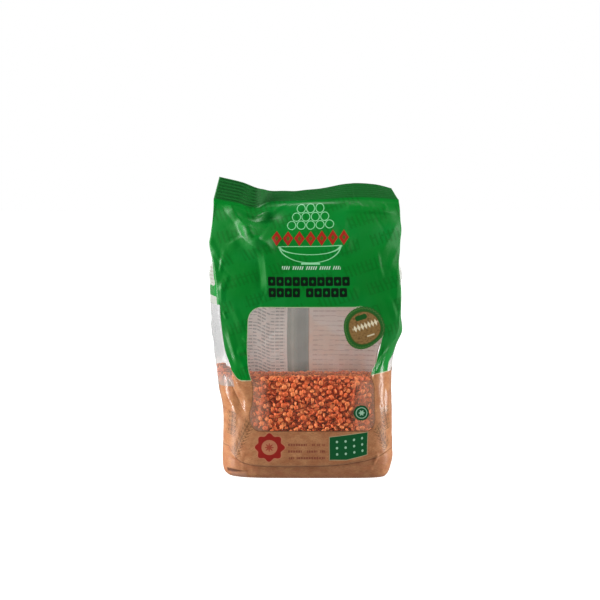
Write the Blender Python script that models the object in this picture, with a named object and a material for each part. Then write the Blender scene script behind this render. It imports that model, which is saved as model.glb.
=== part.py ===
"""A side-gusseted film bag, part filled with red lentils, standing on its flat block bottom.

Metres, +Z up. x runs across the front from left to right, y from the front (-) to the back (+).
The origin is on the floor, under the middle of the bag. The bag is one closed solid.
"""
import math

import bmesh
import bpy
import numpy as np

# Driving dimensions of the film tube
GUSSET_HALF = 0.032
SEAL_HEIGHT = 0.0150
SEAL_LINE = 0.1885
SEAL_THICKNESS = 0.0012
SEAL_THICKNESS_AT_GUSSET = 0.0017
SEAL_EDGE_CROWN = 0.0003
RIB_COUNT = 7
RIB_DEPTH = 0.0004

# The bag's section at a few heights: how far it reaches to the left, right, front and back
REACH = (
    (0.0000, 0.0560, 0.0548, 0.0360, 0.0355),
    (0.0015, 0.0575, 0.0560, 0.0375, 0.0370),
    (0.0050, 0.0586, 0.0575, 0.0388, 0.0384),
    (0.0100, 0.0589, 0.0590, 0.0398, 0.0393),
    (0.0250, 0.0585, 0.0590, 0.0409, 0.0403),
    (0.0450, 0.0587, 0.0588, 0.0416, 0.0410),
    (0.0600, 0.0612, 0.0586, 0.0416, 0.0408),
    (0.0750, 0.0633, 0.0592, 0.0410, 0.0402),
    (0.0900, 0.0648, 0.0627, 0.0398, 0.0390),
    (0.0985, 0.0656, 0.0666, 0.0389, 0.0381),
    (0.1100, 0.0665, 0.0655, 0.0376, 0.0368),
    (0.1300, 0.0669, 0.0645, 0.0346, 0.0340),
    (0.1450, 0.0666, 0.0639, 0.0314, 0.0308),
    (0.1600, 0.0662, 0.0640, 0.0264, 0.0260),
    (0.1720, 0.0650, 0.0642, 0.0202, 0.0202),
    (0.1810, 0.0646, 0.0640, 0.0124, 0.0128),
    (0.1865, 0.0645, 0.0637, 0.0046, 0.0050),
    (0.1885, 0.0644, 0.0636, 0.0010, 0.0010),
)

# How the gussets lie at a few heights: how far the left and the right one swell outwards, how deep
# both are folded inwards, and the depth of the panels' side edges as a share of the panels' middle
GUSSETS = (
    (0.0750, 0.0000, 0.0000, 0.0000, 0.84),
    (0.1000, 0.0052, 0.0006, 0.0000, 0.84),
    (0.1300, 0.0060, 0.0012, 0.0000, 0.83),
    (0.1450, 0.0036, 0.0014, 0.0002, 0.80),
    (0.1550, 0.0006, 0.0006, 0.0080, 0.74),
    (0.1650, 0.0000, 0.0000, 0.0170, 0.68),
    (0.1750, 0.0000, 0.0000, 0.0225, 0.62),
    (0.1815, 0.0000, 0.0000, 0.0230, 0.60),
    (0.1865, 0.0000, 0.0000, 0.0120, 0.70),
    (0.1885, 0.0000, 0.0000, 0.0000, 1.00),
)

# The filled part's section is a rounded rectangle: the higher the number, the squarer the corner
SQUARENESS = (
    (0.0000, 4.2, 7.0),
    (0.0250, 4.0, 5.4),
    (0.0750, 4.0, 4.2),
    (0.1100, 4.0, 4.0),
)
FILLED_UP_TO = 0.070
FOLDED_FROM = 0.125
PANEL_CROWN = 2.2

# The crimped top seal from left to right: the height and the y of its lower line, how far it leans
# back from upright in degrees, and how far its free edge is drawn to the right
SEAL_COURSE = (
    (-0.0650, 0.1900, -0.0040, 6.0, 0.26),
    (-0.0480, 0.1866, -0.0050, 16.0, 0.24),
    (-0.0345, 0.1836, -0.0060, 32.0, 0.20),
    (-0.0290, 0.1862, -0.0015, 52.0, 0.08),
    (-0.0120, 0.1876, 0.0000, 62.0, 0.02),
    (0.0080, 0.1884, 0.0002, 59.0, -0.02),
    (0.0300, 0.1900, 0.0002, 49.0, -0.06),
    (0.0480, 0.1896, 0.0000, 50.0, -0.14),
    (0.0640, 0.1884, 0.0000, 60.0, -0.28),
)
SEAL_DRAWS_FROM = 0.140
FOLDS_END_FROM = 0.180
LAYER_STEP_SOFTNESS = 0.0015

# Folds of the front panel: a ridge from the seal's left corner towards the middle, with a dent beside it
RIDGE_START = (-0.0560, 0.1880)
RIDGE_END = (-0.0250, 0.1540)
RIDGE_HEIGHT = 0.0034
RIDGE_HALF_WIDTH = 0.0120
RIDGE_GROWS = (-0.1, 0.25)
RIDGE_FADES = (0.6, 1.25)
DENT_CENTRE = (-0.0300, 0.1755)
DENT_RADII = (0.0260, 0.0085)
DENT_DEPTH = 0.0042

# The block bottom is tucked under below a curved crease
CREASE_HEIGHT = 0.0088
CREASE_HALF_WIDTH = 0.0580
CREASE_RISE_LEFT = 0.0130
CREASE_POWER_LEFT = 6.0
CREASE_RISE_RIGHT = 0.0110
CREASE_POWER_RIGHT = 2.2
TUCK_DEPTH = 0.0015
TUCK_SOFTNESS = 0.0016

# The back's fin seal lies flat on the panel, folded to the left as seen from the front
FIN_WIDTH = 0.0135
FIN_THICKNESS = 0.0010
FIN_FROM = 0.0120
FIN_RISE = 0.0040
FIN_SOFTNESS = 0.0010

# What brings the middle of the whole bag, its leaning seal included, over the origin
TO_MIDDLE = (0.0004, -0.0002, 0.0)

# Mesh density
PANEL_STEPS = 40
GUSSET_STEPS = 12
MERGE_DISTANCE = 1e-6
BODY_HEIGHTS = (0.0, 0.0015, 0.0040, 0.0070, 0.0100, 0.0130, 0.0165, 0.0210, 0.0270, 0.0340,
                0.0420, 0.0500, 0.0580, 0.0660, 0.0740, 0.0810, 0.0870, 0.0930, 0.0985, 0.1040,
                0.1110, 0.1190, 0.1270, 0.1340, 0.1400, 0.1450, 0.1500, 0.1550, 0.1600, 0.1650,
                0.1695, 0.1735, 0.1775, 0.1812, 0.1842, 0.1868)

FILM_COLOUR = (0.004, 0.156, 0.020, 1.0)
FILM_ROUGHNESS = 0.32


def smooth_course(rows, column, at):
    """A smooth curve through one column of a table of stations."""
    stations = np.array([row[0] for row in rows])
    values = np.array([row[column] for row in rows])
    slopes = np.gradient(values, stations)
    at = np.clip(at, stations[0], stations[-1])
    left = np.clip(np.searchsorted(stations, at) - 1, 0, len(rows) - 2)
    span = stations[left + 1] - stations[left]
    part = (at - stations[left]) / span
    back = 1.0 - part
    ends = values[left] * back ** 2 * (1.0 + 2.0 * part) + values[left + 1] * part ** 2 * (3.0 - 2.0 * part)
    return ends + span * (slopes[left] * part * back ** 2 - slopes[left + 1] * part ** 2 * back)


def ease(start, stop, at):
    """0 before start, 1 after stop, and an S-shaped rise between them."""
    part = np.clip((at - start) / (stop - start), 0.0, 1.0)
    return part * part * (3.0 - 2.0 * part)


def front_fold(x, height):
    """How far the folds push the front panel outwards at a place on it."""
    start = np.array(RIDGE_START)
    along = np.array(RIDGE_END) - start
    length = math.hypot(*along)
    along = along / length
    run = (x - start[0]) * along[0] + (height - start[1]) * along[1]
    off = (x - start[0]) * along[1] - (height - start[1]) * along[0]
    crest = 1.0 - ease(0.0, RIDGE_HALF_WIDTH, np.abs(off))
    ends = ease(*RIDGE_GROWS, run / length) * (1.0 - ease(*RIDGE_FADES, run / length))
    ridge = RIDGE_HEIGHT * crest * ends
    reach = ((x - DENT_CENTRE[0]) / DENT_RADII[0]) ** 2 + ((height - DENT_CENTRE[1]) / DENT_RADII[1]) ** 2
    dent = DENT_DEPTH * np.exp(-reach)
    return ridge - dent


def tuck(x, height):
    """How far the block bottom stands back below its curved crease."""
    share = np.minimum(1.0, np.abs(x) / CREASE_HALF_WIDTH)
    rise = np.where(x > 0.0, CREASE_RISE_RIGHT * share ** CREASE_POWER_RIGHT,
                    CREASE_RISE_LEFT * share ** CREASE_POWER_LEFT)
    crease = CREASE_HEIGHT + rise
    return TUCK_DEPTH * (1.0 - ease(-TUCK_SOFTNESS, TUCK_SOFTNESS, height - crease))


def fin_relief(x, height):
    """How far the folded fin seal stands out of the back panel."""
    across = ease(-FIN_WIDTH - FIN_SOFTNESS, -FIN_WIDTH, x) * (1.0 - ease(0.0, FIN_SOFTNESS, x))
    return FIN_THICKNESS * across * ease(FIN_FROM - FIN_RISE, FIN_FROM, height)


def columns_round():
    """The mesh's columns once round the bag, from the front's left edge, against the clock from above.

    The first array says how far to the right a column is and the second how far back, both from -1 to 1:
    the front panel, the right gusset, the back panel and the left gusset are the four sides of a square.
    """
    across = []
    depth = []
    for face in (-1, 1):
        for step in range(PANEL_STEPS):
            across.append(-face * (2.0 * step / PANEL_STEPS - 1.0))
            depth.append(face)
        for step in range(GUSSET_STEPS):
            across.append(-face)
            depth.append(-face * (2.0 * step / GUSSET_STEPS - 1.0))
    return np.array(across), np.array(depth)


def section(height):
    """The film tube's outline at one height, before its folds: x and y of each column."""
    across, depth = columns_round()
    left, right, front, back = (smooth_course(REACH, column, height) for column in range(1, 5))
    swell_left, swell_right = (smooth_course(GUSSETS, column, height) for column in (1, 2))
    fold, edge_share = (smooth_course(GUSSETS, column, height) for column in (3, 4))
    square_left, square_right = (smooth_course(SQUARENESS, column, height) for column in (1, 2))
    on_right = across > 0.0
    reach_x = np.where(on_right, right, left)
    reach_y = np.where(depth > 0.0, back, front)
    swell = np.where(on_right, swell_right, swell_left)
    square = np.where(on_right, square_right, square_left)
    pull = (1.0 + np.minimum(np.abs(across), np.abs(depth)) ** square) ** (-1.0 / square)
    filled = np.column_stack((across * pull * reach_x, depth * pull * reach_y))
    crown = edge_share + (1.0 - edge_share) * (1.0 - np.abs(across) ** PANEL_CROWN)
    gusset = swell * (1.0 - depth ** 2) - fold * (1.0 - np.abs(depth))
    empty = np.column_stack((across * (reach_x - swell + gusset), depth * crown * reach_y))
    emptiness = ease(FILLED_UP_TO, FOLDED_FROM, height)
    return (1.0 - emptiness) * filled + emptiness * empty


def body_ring(height):
    """The bag's outline at one height, with its folds, drawn towards the seal near the top."""
    flat = section(height)
    x = flat[:, 0]
    y = flat[:, 1]
    turned_out = np.abs(y) / smooth_course(REACH, 3, height)
    facing = np.minimum(turned_out, 1.0) ** 2
    fold = facing * (1.0 - ease(FOLDS_END_FROM, SEAL_LINE, height))
    y = np.where(y < 0.0, y - fold * front_fold(x, height), y + fold * fin_relief(x, height))
    y = y - np.sign(y) * facing * tuck(x, height)
    drawn = ease(SEAL_DRAWS_FROM, SEAL_LINE, height)
    z = height + drawn * (smooth_course(SEAL_COURSE, 1, x) - SEAL_LINE)
    y = y + drawn * smooth_course(SEAL_COURSE, 2, x)
    return np.column_stack((x, y, z))


def seal_ring(share, rib):
    """One turn round the flat crimped seal, at a share of its height and pushed back by the rib's step."""
    across, depth = columns_round()
    depth = np.round(depth)
    left = REACH[-1][1]
    right = REACH[-1][2]
    x = across * np.where(across > 0.0, right, left)
    lean = np.radians(smooth_course(SEAL_COURSE, 3, x))
    level = np.zeros_like(x)
    up = np.column_stack((smooth_course(SEAL_COURSE, 4, x), np.sin(lean), np.cos(lean)))
    out = np.column_stack((level, np.cos(lean), -np.sin(lean)))
    inner_fold = left - GUSSET_HALF
    four_layers = ease(-LAYER_STEP_SOFTNESS, LAYER_STEP_SOFTNESS, np.abs(x) - inner_fold)
    thickness = SEAL_THICKNESS + (SEAL_THICKNESS_AT_GUSSET - SEAL_THICKNESS) * four_layers
    crown = across * SEAL_EDGE_CROWN * (depth == 0.0)
    low = np.column_stack((x + crown, smooth_course(SEAL_COURSE, 2, x), smooth_course(SEAL_COURSE, 1, x)))
    return low + up * SEAL_HEIGHT * share + out * (0.5 * thickness * depth + rib)[:, None]


def all_rings():
    """The bag's rings from the floor to the free edge of the seal, whose ribs zigzag."""
    rings = [body_ring(height) for height in BODY_HEIGHTS]
    rib_steps = 2 * RIB_COUNT
    for step in range(rib_steps + 1):
        rib = RIB_DEPTH * (0.5 if step % 2 else -0.5)
        at_end = step in (0, rib_steps)
        rings.append(seal_ring(step / rib_steps, 0.0 if at_end else rib))
    return rings


def build_bag():
    """The bag as one closed mesh: its rings bridged, the foot closed flat, the seal's edge closed."""
    rings = [ring + np.array(TO_MIDDLE) for ring in all_rings()]
    columns = len(rings[0])
    points = [tuple(point) for ring in rings for point in ring]
    faces = []
    for level in range(len(rings) - 1):
        low = level * columns
        high = low + columns
        for column in range(columns):
            after = (column + 1) % columns
            faces.append((low + column, low + after, high + after, high + column))
    faces.append(tuple(reversed(range(columns))))
    top = (len(rings) - 1) * columns
    turn = PANEL_STEPS + GUSSET_STEPS
    for step in range(PANEL_STEPS):
        front = top + step
        back = top + (turn + PANEL_STEPS - step) % columns
        faces.append((front, front + 1, back - 1, back))
    mid_right = PANEL_STEPS + GUSSET_STEPS // 2
    mid_left = turn + mid_right
    faces.append((top + PANEL_STEPS, top + mid_right, top + turn))
    faces.append((top + turn + PANEL_STEPS, top + mid_left, top))
    mesh = bpy.data.meshes.new("bag")
    mesh.from_pydata(points, [], faces)
    shell = bmesh.new()
    shell.from_mesh(mesh)
    bmesh.ops.remove_doubles(shell, verts=shell.verts[:], dist=MERGE_DISTANCE)
    shell.to_mesh(mesh)
    shell.free()
    return mesh


def film_material():
    material = bpy.data.materials.new("printed_film")
    material.use_nodes = True
    finish = material.node_tree.nodes["Principled BSDF"]
    finish.inputs["Base Color"].default_value = FILM_COLOUR
    finish.inputs["Roughness"].default_value = FILM_ROUGHNESS
    finish.inputs["Metallic"].default_value = 0.0
    return material


def main():
    for old in list(bpy.data.objects):
        bpy.data.objects.remove(old)
    mesh = build_bag()
    mesh.materials.append(film_material())
    bag = bpy.data.objects.new("bag", mesh)
    bpy.context.scene.collection.objects.link(bag)


main()
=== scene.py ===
# %% [markdown]
# This lesson dresses a bag of red lentils. The real bag is one sheet of printed plastic film, rolled into a
# tube with a fold down each side, sealed across the top and folded into a flat block at the bottom. The CAD
# model gives its size and place as one closed solid. Here that solid gives way to what can be seen: thin
# film with its print and its creases, clear windows, and the lentils behind them.

# %% Load the fixed frame and keep its box
import math

import bpy
import numpy as np
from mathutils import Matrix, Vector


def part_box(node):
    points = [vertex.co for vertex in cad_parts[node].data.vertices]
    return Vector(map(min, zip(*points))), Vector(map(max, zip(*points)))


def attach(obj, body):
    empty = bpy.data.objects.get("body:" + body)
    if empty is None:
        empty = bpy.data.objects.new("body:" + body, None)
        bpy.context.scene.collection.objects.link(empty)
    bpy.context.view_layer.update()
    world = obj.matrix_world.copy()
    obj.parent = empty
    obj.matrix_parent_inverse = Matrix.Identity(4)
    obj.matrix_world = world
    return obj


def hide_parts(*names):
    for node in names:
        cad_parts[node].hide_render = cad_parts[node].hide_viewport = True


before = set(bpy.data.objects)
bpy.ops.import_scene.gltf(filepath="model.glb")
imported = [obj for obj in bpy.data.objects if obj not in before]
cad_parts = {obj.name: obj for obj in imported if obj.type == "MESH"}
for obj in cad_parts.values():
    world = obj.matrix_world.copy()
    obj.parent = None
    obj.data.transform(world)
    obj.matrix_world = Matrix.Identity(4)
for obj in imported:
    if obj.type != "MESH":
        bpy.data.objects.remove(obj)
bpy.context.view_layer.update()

bag_low, bag_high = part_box("bag")
print("the CAD bag is", [round(1000.0 * size, 1) for size in bag_high - bag_low], "mm wide, deep and high")

# %% [markdown]
# Photographs of packs are taken from a step away with a long lens, so that the sides stay nearly parallel.
# The camera here stands a metre off and a little above the bag, as the photograph's does. A small shift of
# the lens puts the bag where it stands in the picture without turning the camera.

# %% Set up the camera
TARGET = (0.0004, 0.0, 0.1000)
CAMERA_DISTANCE = 1.0
CAMERA_RISE = math.radians(6.0)
SENSOR_WIDTH = 36.0
PICTURE_WIDTH = 600
TARGET_PIXEL = (307.0, 327.2)
MM_PER_PIXEL = 0.70

lens_data = bpy.data.cameras.new("long_lens")
lens_data.sensor_width = SENSOR_WIDTH
lens_data.lens = SENSOR_WIDTH * CAMERA_DISTANCE / (0.001 * MM_PER_PIXEL * PICTURE_WIDTH)
lens_data.shift_x = (PICTURE_WIDTH / 2 - TARGET_PIXEL[0]) / PICTURE_WIDTH
lens_data.shift_y = (TARGET_PIXEL[1] - PICTURE_WIDTH / 2) / PICTURE_WIDTH
camera = bpy.data.objects.new("camera", lens_data)
bpy.context.scene.collection.objects.link(camera)
camera.location = (TARGET[0], TARGET[1] - CAMERA_DISTANCE * math.cos(CAMERA_RISE),
                   TARGET[2] + CAMERA_DISTANCE * math.sin(CAMERA_RISE))
camera.rotation_euler = (math.radians(90.0) - CAMERA_RISE, 0.0, 0.0)
bpy.context.scene.camera = camera
print("the lens is", round(lens_data.lens, 2), "mm long")

# %% [markdown]
# Dark print keeps its depth only when little light is mirrored off it. A photographer therefore leaves the
# side of the camera dark and rakes a glossy pack with tall lamps from both sides, with smaller ones above
# them and a large one behind for the clear film. Two black cards that the camera doesn't see keep the room
# out of the gloss. A plain white background is cut in afterwards in such pictures, so the white dome and
# the floor here are seen by the camera alone.

# %% Light the set
WORLD_LIGHT = 0.27
DOME_RADIUS = 8.0
FLOOR_SIZE = 15.0
FLOOR_GLOW = 0.93
FLOOR_GREY = (0.5, 0.5, 0.5)
CARD_WIDTH = 2.8
CARD_HEIGHT = 1.9
CARD_BLACK = (0.004, 0.004, 0.004)

# Place, width, height and watts
LAMPS = {
    "lamp_left": ((-1.30, -0.32, 0.30), 0.22, 1.50, 29.0),
    "lamp_right": ((1.30, -0.28, 0.30), 0.22, 1.50, 22.0),
    "lamp_upper_left": ((-0.95, -0.25, 1.15), 0.50, 0.50, 5.5),
    "lamp_upper_right": ((0.95, -0.30, 1.15), 0.50, 0.50, 4.0),
    "lamp_back": ((0.0, 1.60, 0.70), 1.50, 1.50, 20.0),
}


def softbox(name, place, width, height, watts):
    """A soft lamp turned to the middle of the bag."""
    data = bpy.data.lights.new(name, "AREA")
    data.shape = "RECTANGLE"
    data.size = width
    data.size_y = height
    data.energy = watts
    lamp = bpy.data.objects.new(name, data)
    bpy.context.scene.collection.objects.link(lamp)
    lamp.location = place
    aim = [goal - start for goal, start in zip(TARGET, place)]
    level = math.hypot(aim[0], aim[1])
    lamp.rotation_euler = (math.atan2(level, -aim[2]), 0.0, math.atan2(aim[1], aim[0]) - math.pi / 2)


def plain_material(name, colour, glow):
    """A dull finish for what stands round the object, which may glow."""
    material = bpy.data.materials.new(name)
    material.use_nodes = True
    finish = material.node_tree.nodes["Principled BSDF"]
    finish.inputs["Base Color"].default_value = (*colour, 1.0)
    finish.inputs["Roughness"].default_value = 1.0
    finish.inputs["Specular IOR Level"].default_value = 0.0
    finish.inputs["Emission Color"].default_value = (1.0, 1.0, 1.0, 1.0)
    finish.inputs["Emission Strength"].default_value = glow
    return material


def for_the_camera_only(thing):
    """Seen by the camera, without lighting the bag, shading it or being mirrored in it."""
    thing.visible_diffuse = False
    thing.visible_glossy = False
    thing.visible_transmission = False
    thing.visible_volume_scatter = False
    thing.visible_shadow = False


def black_card(name, place, turn):
    """A black card beside the set. Lamps and gloss meet it, and the camera doesn't see it."""
    bpy.ops.object.select_all(action="DESELECT")
    bpy.ops.mesh.primitive_plane_add(size=1.0, location=place, rotation=(turn, 0.0, 0.0))
    card = bpy.context.active_object
    card.name = name
    card.scale = (CARD_WIDTH, CARD_HEIGHT, 1.0)
    card.data.materials.append(plain_material(name, CARD_BLACK, 0.0))
    card.visible_camera = False


surroundings = bpy.data.worlds.new("grey_room")
surroundings.use_nodes = True
surroundings.node_tree.nodes["Background"].inputs["Color"].default_value = (1.0, 1.0, 1.0, 1.0)
surroundings.node_tree.nodes["Background"].inputs["Strength"].default_value = WORLD_LIGHT
bpy.context.scene.world = surroundings
bpy.context.scene.view_settings.view_transform = "Standard"

bpy.ops.object.select_all(action="DESELECT")
bpy.ops.mesh.primitive_uv_sphere_add(segments=48, ring_count=24, radius=DOME_RADIUS, location=(0.0, 0.0, 0.0))
dome = bpy.context.active_object
dome.name = "dome"
dome.data.materials.append(plain_material("dome_paint", (0.0, 0.0, 0.0), 1.0))
for_the_camera_only(dome)
bpy.ops.object.select_all(action="DESELECT")
bpy.ops.mesh.primitive_plane_add(size=FLOOR_SIZE, location=(0.0, 0.0, 0.0))
floor = bpy.context.active_object
floor.name = "floor"
floor.data.materials.append(plain_material("floor_paint", FLOOR_GREY, FLOOR_GLOW))
for_the_camera_only(floor)
black_card("card_front", (0.0, -1.5, 0.85), math.radians(90.0))
black_card("card_top", (0.0, -0.55, 1.95), 0.0)
for lamp_name, (place, width, height, watts) in LAMPS.items():
    softbox(lamp_name, place, width, height, watts)
print("one world, one dome, one floor, two cards and", len(LAMPS), "lamps")

# %% [markdown]
# The film's shape follows the CAD solid, so the stations of its sections are the solid's own: how far the
# bag reaches to each side at a few heights, how its sides are folded, and the course of the seal across the
# top. A place on the film is given by how far across a panel it is, how deep round the gusset, and how
# high.

# %% State the sections of the film tube
PANEL_HALF = 0.064
GUSSET_HALF = 0.032
HALF_TUBE = PANEL_HALF + GUSSET_HALF
SEAL_HEIGHT = 0.0150
SEAL_LINE = 0.1885
SEAL_THICKNESS = 0.0012
SEAL_THICKNESS_AT_GUSSET = 0.0017
TO_MIDDLE = (0.0004, -0.0002, 0.0)

# Height, and the reach to the left, right, front and back
REACH = (
    (0.0000, 0.0560, 0.0548, 0.0360, 0.0355),
    (0.0015, 0.0575, 0.0560, 0.0375, 0.0370),
    (0.0050, 0.0586, 0.0575, 0.0388, 0.0384),
    (0.0100, 0.0589, 0.0590, 0.0398, 0.0393),
    (0.0250, 0.0585, 0.0590, 0.0409, 0.0403),
    (0.0450, 0.0587, 0.0588, 0.0416, 0.0410),
    (0.0600, 0.0612, 0.0586, 0.0416, 0.0408),
    (0.0750, 0.0633, 0.0592, 0.0410, 0.0402),
    (0.0900, 0.0648, 0.0627, 0.0398, 0.0390),
    (0.0985, 0.0656, 0.0666, 0.0389, 0.0381),
    (0.1100, 0.0665, 0.0655, 0.0376, 0.0368),
    (0.1300, 0.0669, 0.0645, 0.0346, 0.0340),
    (0.1450, 0.0666, 0.0639, 0.0314, 0.0308),
    (0.1600, 0.0662, 0.0640, 0.0264, 0.0260),
    (0.1720, 0.0650, 0.0642, 0.0202, 0.0202),
    (0.1810, 0.0646, 0.0640, 0.0124, 0.0128),
    (0.1865, 0.0645, 0.0637, 0.0046, 0.0050),
    (0.1885, 0.0644, 0.0636, 0.0010, 0.0010),
)

# Height, the swell of the left and of the right gusset, how deep both are folded inwards, and the depth of
# the panels' side edges as a share of the panels' middle
GUSSETS = (
    (0.0750, 0.0000, 0.0000, 0.0000, 0.84),
    (0.1000, 0.0052, 0.0006, 0.0000, 0.84),
    (0.1300, 0.0060, 0.0012, 0.0000, 0.83),
    (0.1450, 0.0036, 0.0014, 0.0002, 0.80),
    (0.1550, 0.0006, 0.0006, 0.0080, 0.74),
    (0.1650, 0.0000, 0.0000, 0.0170, 0.68),
    (0.1750, 0.0000, 0.0000, 0.0225, 0.62),
    (0.1815, 0.0000, 0.0000, 0.0250, 0.60),
    (0.1865, 0.0000, 0.0000, 0.0275, 0.70),
    (0.1885, 0.0000, 0.0000, 0.0290, 1.00),
)

# Height, and how square the left and the right corners are
SQUARENESS = (
    (0.0000, 4.2, 7.0),
    (0.0250, 4.0, 5.4),
    (0.0750, 4.0, 4.2),
    (0.1100, 4.0, 4.0),
)
FILLED_UP_TO = 0.070
FOLDED_FROM = 0.125
PANEL_CROWN = 2.2

# From left to right: x, the height and the y of the seal's lower line, its lean in degrees, and how far its
# free edge is drawn to the right
SEAL_COURSE = (
    (-0.0650, 0.1900, -0.0040, 6.0, 0.26),
    (-0.0480, 0.1866, -0.0050, 16.0, 0.24),
    (-0.0345, 0.1836, -0.0060, 32.0, 0.20),
    (-0.0290, 0.1862, -0.0015, 52.0, 0.08),
    (-0.0120, 0.1876, 0.0000, 62.0, 0.02),
    (0.0080, 0.1884, 0.0002, 59.0, -0.02),
    (0.0300, 0.1900, 0.0002, 49.0, -0.06),
    (0.0480, 0.1896, 0.0000, 50.0, -0.14),
    (0.0640, 0.1884, 0.0000, 60.0, -0.28),
)
SEAL_DRAWS_FROM = 0.140
FOLDS_END_FROM = 0.180
SEAL_JOINS_FROM = SEAL_LINE - 0.003
LAYER_STEP_SOFTNESS = 0.0008

# The large ridge from the seal's left corner and the dent beside it
RIDGE_START = (-0.0560, 0.1880)
RIDGE_END = (-0.0250, 0.1540)
RIDGE_HEIGHT = 0.0034
RIDGE_HALF_WIDTH = 0.0120
RIDGE_GROWS = (-0.1, 0.25)
RIDGE_FADES = (0.6, 1.25)
DENT_CENTRE = (-0.0300, 0.1755)
DENT_RADII = (0.0260, 0.0085)
DENT_DEPTH = 0.0042

# The curved crease above the tucked block bottom
CREASE_HEIGHT = 0.0088
CREASE_HALF_WIDTH = 0.0580
CREASE_RISE_LEFT = 0.0130
CREASE_POWER_LEFT = 6.0
CREASE_RISE_RIGHT = 0.0110
CREASE_POWER_RIGHT = 2.2
TUCK_DEPTH = 0.0015
TUCK_SOFTNESS = 0.0006


def smooth_course(rows, column, at):
    """A smooth curve through one column of a table of stations."""
    stations = np.array([row[0] for row in rows])
    values = np.array([row[column] for row in rows])
    slopes = np.gradient(values, stations)
    at = np.clip(at, stations[0], stations[-1])
    left = np.clip(np.searchsorted(stations, at) - 1, 0, len(rows) - 2)
    span = stations[left + 1] - stations[left]
    part = (at - stations[left]) / span
    back = 1.0 - part
    ends = values[left] * back ** 2 * (1.0 + 2.0 * part) + values[left + 1] * part ** 2 * (3.0 - 2.0 * part)
    return ends + span * (slopes[left] * part * back ** 2 - slopes[left + 1] * part ** 2 * back)


def ease(start, stop, at):
    """0 before start, 1 after stop, and an S-shaped rise between them."""
    part = np.clip((at - start) / (stop - start), 0.0, 1.0)
    return part * part * (3.0 - 2.0 * part)


# %% Work out where a place on the film lies in space
def large_folds(x, height):
    """How far the ridge and the dent push the front panel outwards."""
    start = np.array(RIDGE_START)
    along = np.array(RIDGE_END) - start
    length = math.hypot(*along)
    along = along / length
    run = (x - start[0]) * along[0] + (height - start[1]) * along[1]
    off = (x - start[0]) * along[1] - (height - start[1]) * along[0]
    crest = 1.0 - ease(0.0, RIDGE_HALF_WIDTH, np.abs(off))
    ends = ease(*RIDGE_GROWS, run / length) * (1.0 - ease(*RIDGE_FADES, run / length))
    reach = ((x - DENT_CENTRE[0]) / DENT_RADII[0]) ** 2 + ((height - DENT_CENTRE[1]) / DENT_RADII[1]) ** 2
    return RIDGE_HEIGHT * crest * ends - DENT_DEPTH * np.exp(-reach)


def tuck(x, height):
    """How far the block bottom stands back below its curved crease."""
    share = np.minimum(1.0, np.abs(x) / CREASE_HALF_WIDTH)
    rise = np.where(x > 0.0, CREASE_RISE_RIGHT * share ** CREASE_POWER_RIGHT,
                    CREASE_RISE_LEFT * share ** CREASE_POWER_LEFT)
    crease = CREASE_HEIGHT + rise
    return TUCK_DEPTH * (1.0 - ease(-TUCK_SOFTNESS, TUCK_SOFTNESS, height - crease))


def section(across, depth, height):
    """The film tube's x and y, for a place across a panel and deep round a gusset, both from -1 to 1."""
    left, right, front, back = (smooth_course(REACH, column, height) for column in range(1, 5))
    swell_left, swell_right = (smooth_course(GUSSETS, column, height) for column in (1, 2))
    fold, edge_share = (smooth_course(GUSSETS, column, height) for column in (3, 4))
    square_left, square_right = (smooth_course(SQUARENESS, column, height) for column in (1, 2))
    on_right = across > 0.0
    reach_x = np.where(on_right, right, left)
    reach_y = np.where(depth > 0.0, back, front)
    swell = np.where(on_right, swell_right, swell_left)
    square = np.where(on_right, square_right, square_left)
    pull = (1.0 + np.minimum(np.abs(across), np.abs(depth)) ** square) ** (-1.0 / square)
    crown = edge_share + (1.0 - edge_share) * (1.0 - np.abs(across) ** PANEL_CROWN)
    gusset = swell * (1.0 - depth ** 2) - fold * (1.0 - np.abs(depth))
    emptiness = ease(FILLED_UP_TO, FOLDED_FROM, height)
    x = (1.0 - emptiness) * across * pull * reach_x + emptiness * across * (reach_x - swell + gusset)
    y = (1.0 - emptiness) * depth * pull * reach_y + emptiness * depth * crown * reach_y
    return x, y


def seal_layers(x):
    """The thickness of the pressed seal: four layers of film beside the edges and two between them."""
    inner_fold = REACH[-1][1] - GUSSET_HALF
    four_layers = ease(-LAYER_STEP_SOFTNESS, LAYER_STEP_SOFTNESS, np.abs(x) - inner_fold)
    return SEAL_THICKNESS + (SEAL_THICKNESS_AT_GUSSET - SEAL_THICKNESS) * four_layers


def round_gusset(sideways, side):
    """From the way along the film to the place across a panel and deep round a gusset."""
    across = np.clip(sideways / PANEL_HALF, -1.0, 1.0)
    depth = side * (1.0 - np.maximum(0.0, np.abs(sideways) - PANEL_HALF) / GUSSET_HALF)
    return across, depth


def film(sideways, height, side):
    """The film's place in space: sideways from the middle of a panel, up from the floor, on the front (-1)
    or on the back (1). Its folds are pressed flat as it comes to the seal."""
    across, depth = round_gusset(sideways, side)
    x, y = section(across, depth, height)
    facing = np.minimum(np.abs(y) / smooth_course(REACH, 3, height), 1.0) ** 2
    if side < 0:
        y = y - facing * (1.0 - ease(FOLDS_END_FROM, SEAL_LINE, height)) * large_folds(x, height)
    y = y - np.sign(y) * facing * tuck(x, height)
    drawn = ease(SEAL_DRAWS_FROM, SEAL_LINE, height)
    z = height + drawn * (smooth_course(SEAL_COURSE, 1, x) - SEAL_LINE)
    y = y + drawn * smooth_course(SEAL_COURSE, 2, x)
    lean = np.radians(smooth_course(SEAL_COURSE, 3, x))
    pressed = 0.5 * seal_layers(x) * depth
    joined = ease(SEAL_JOINS_FROM, SEAL_LINE, height)
    y = y + joined * (smooth_course(SEAL_COURSE, 2, x) + pressed * np.cos(lean) - y)
    z = z - joined * pressed * np.sin(lean)
    return np.stack((x, y, z), axis=-1) + np.array(TO_MIDDLE)


NEIGHBOUR_STEP = 0.0004


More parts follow.
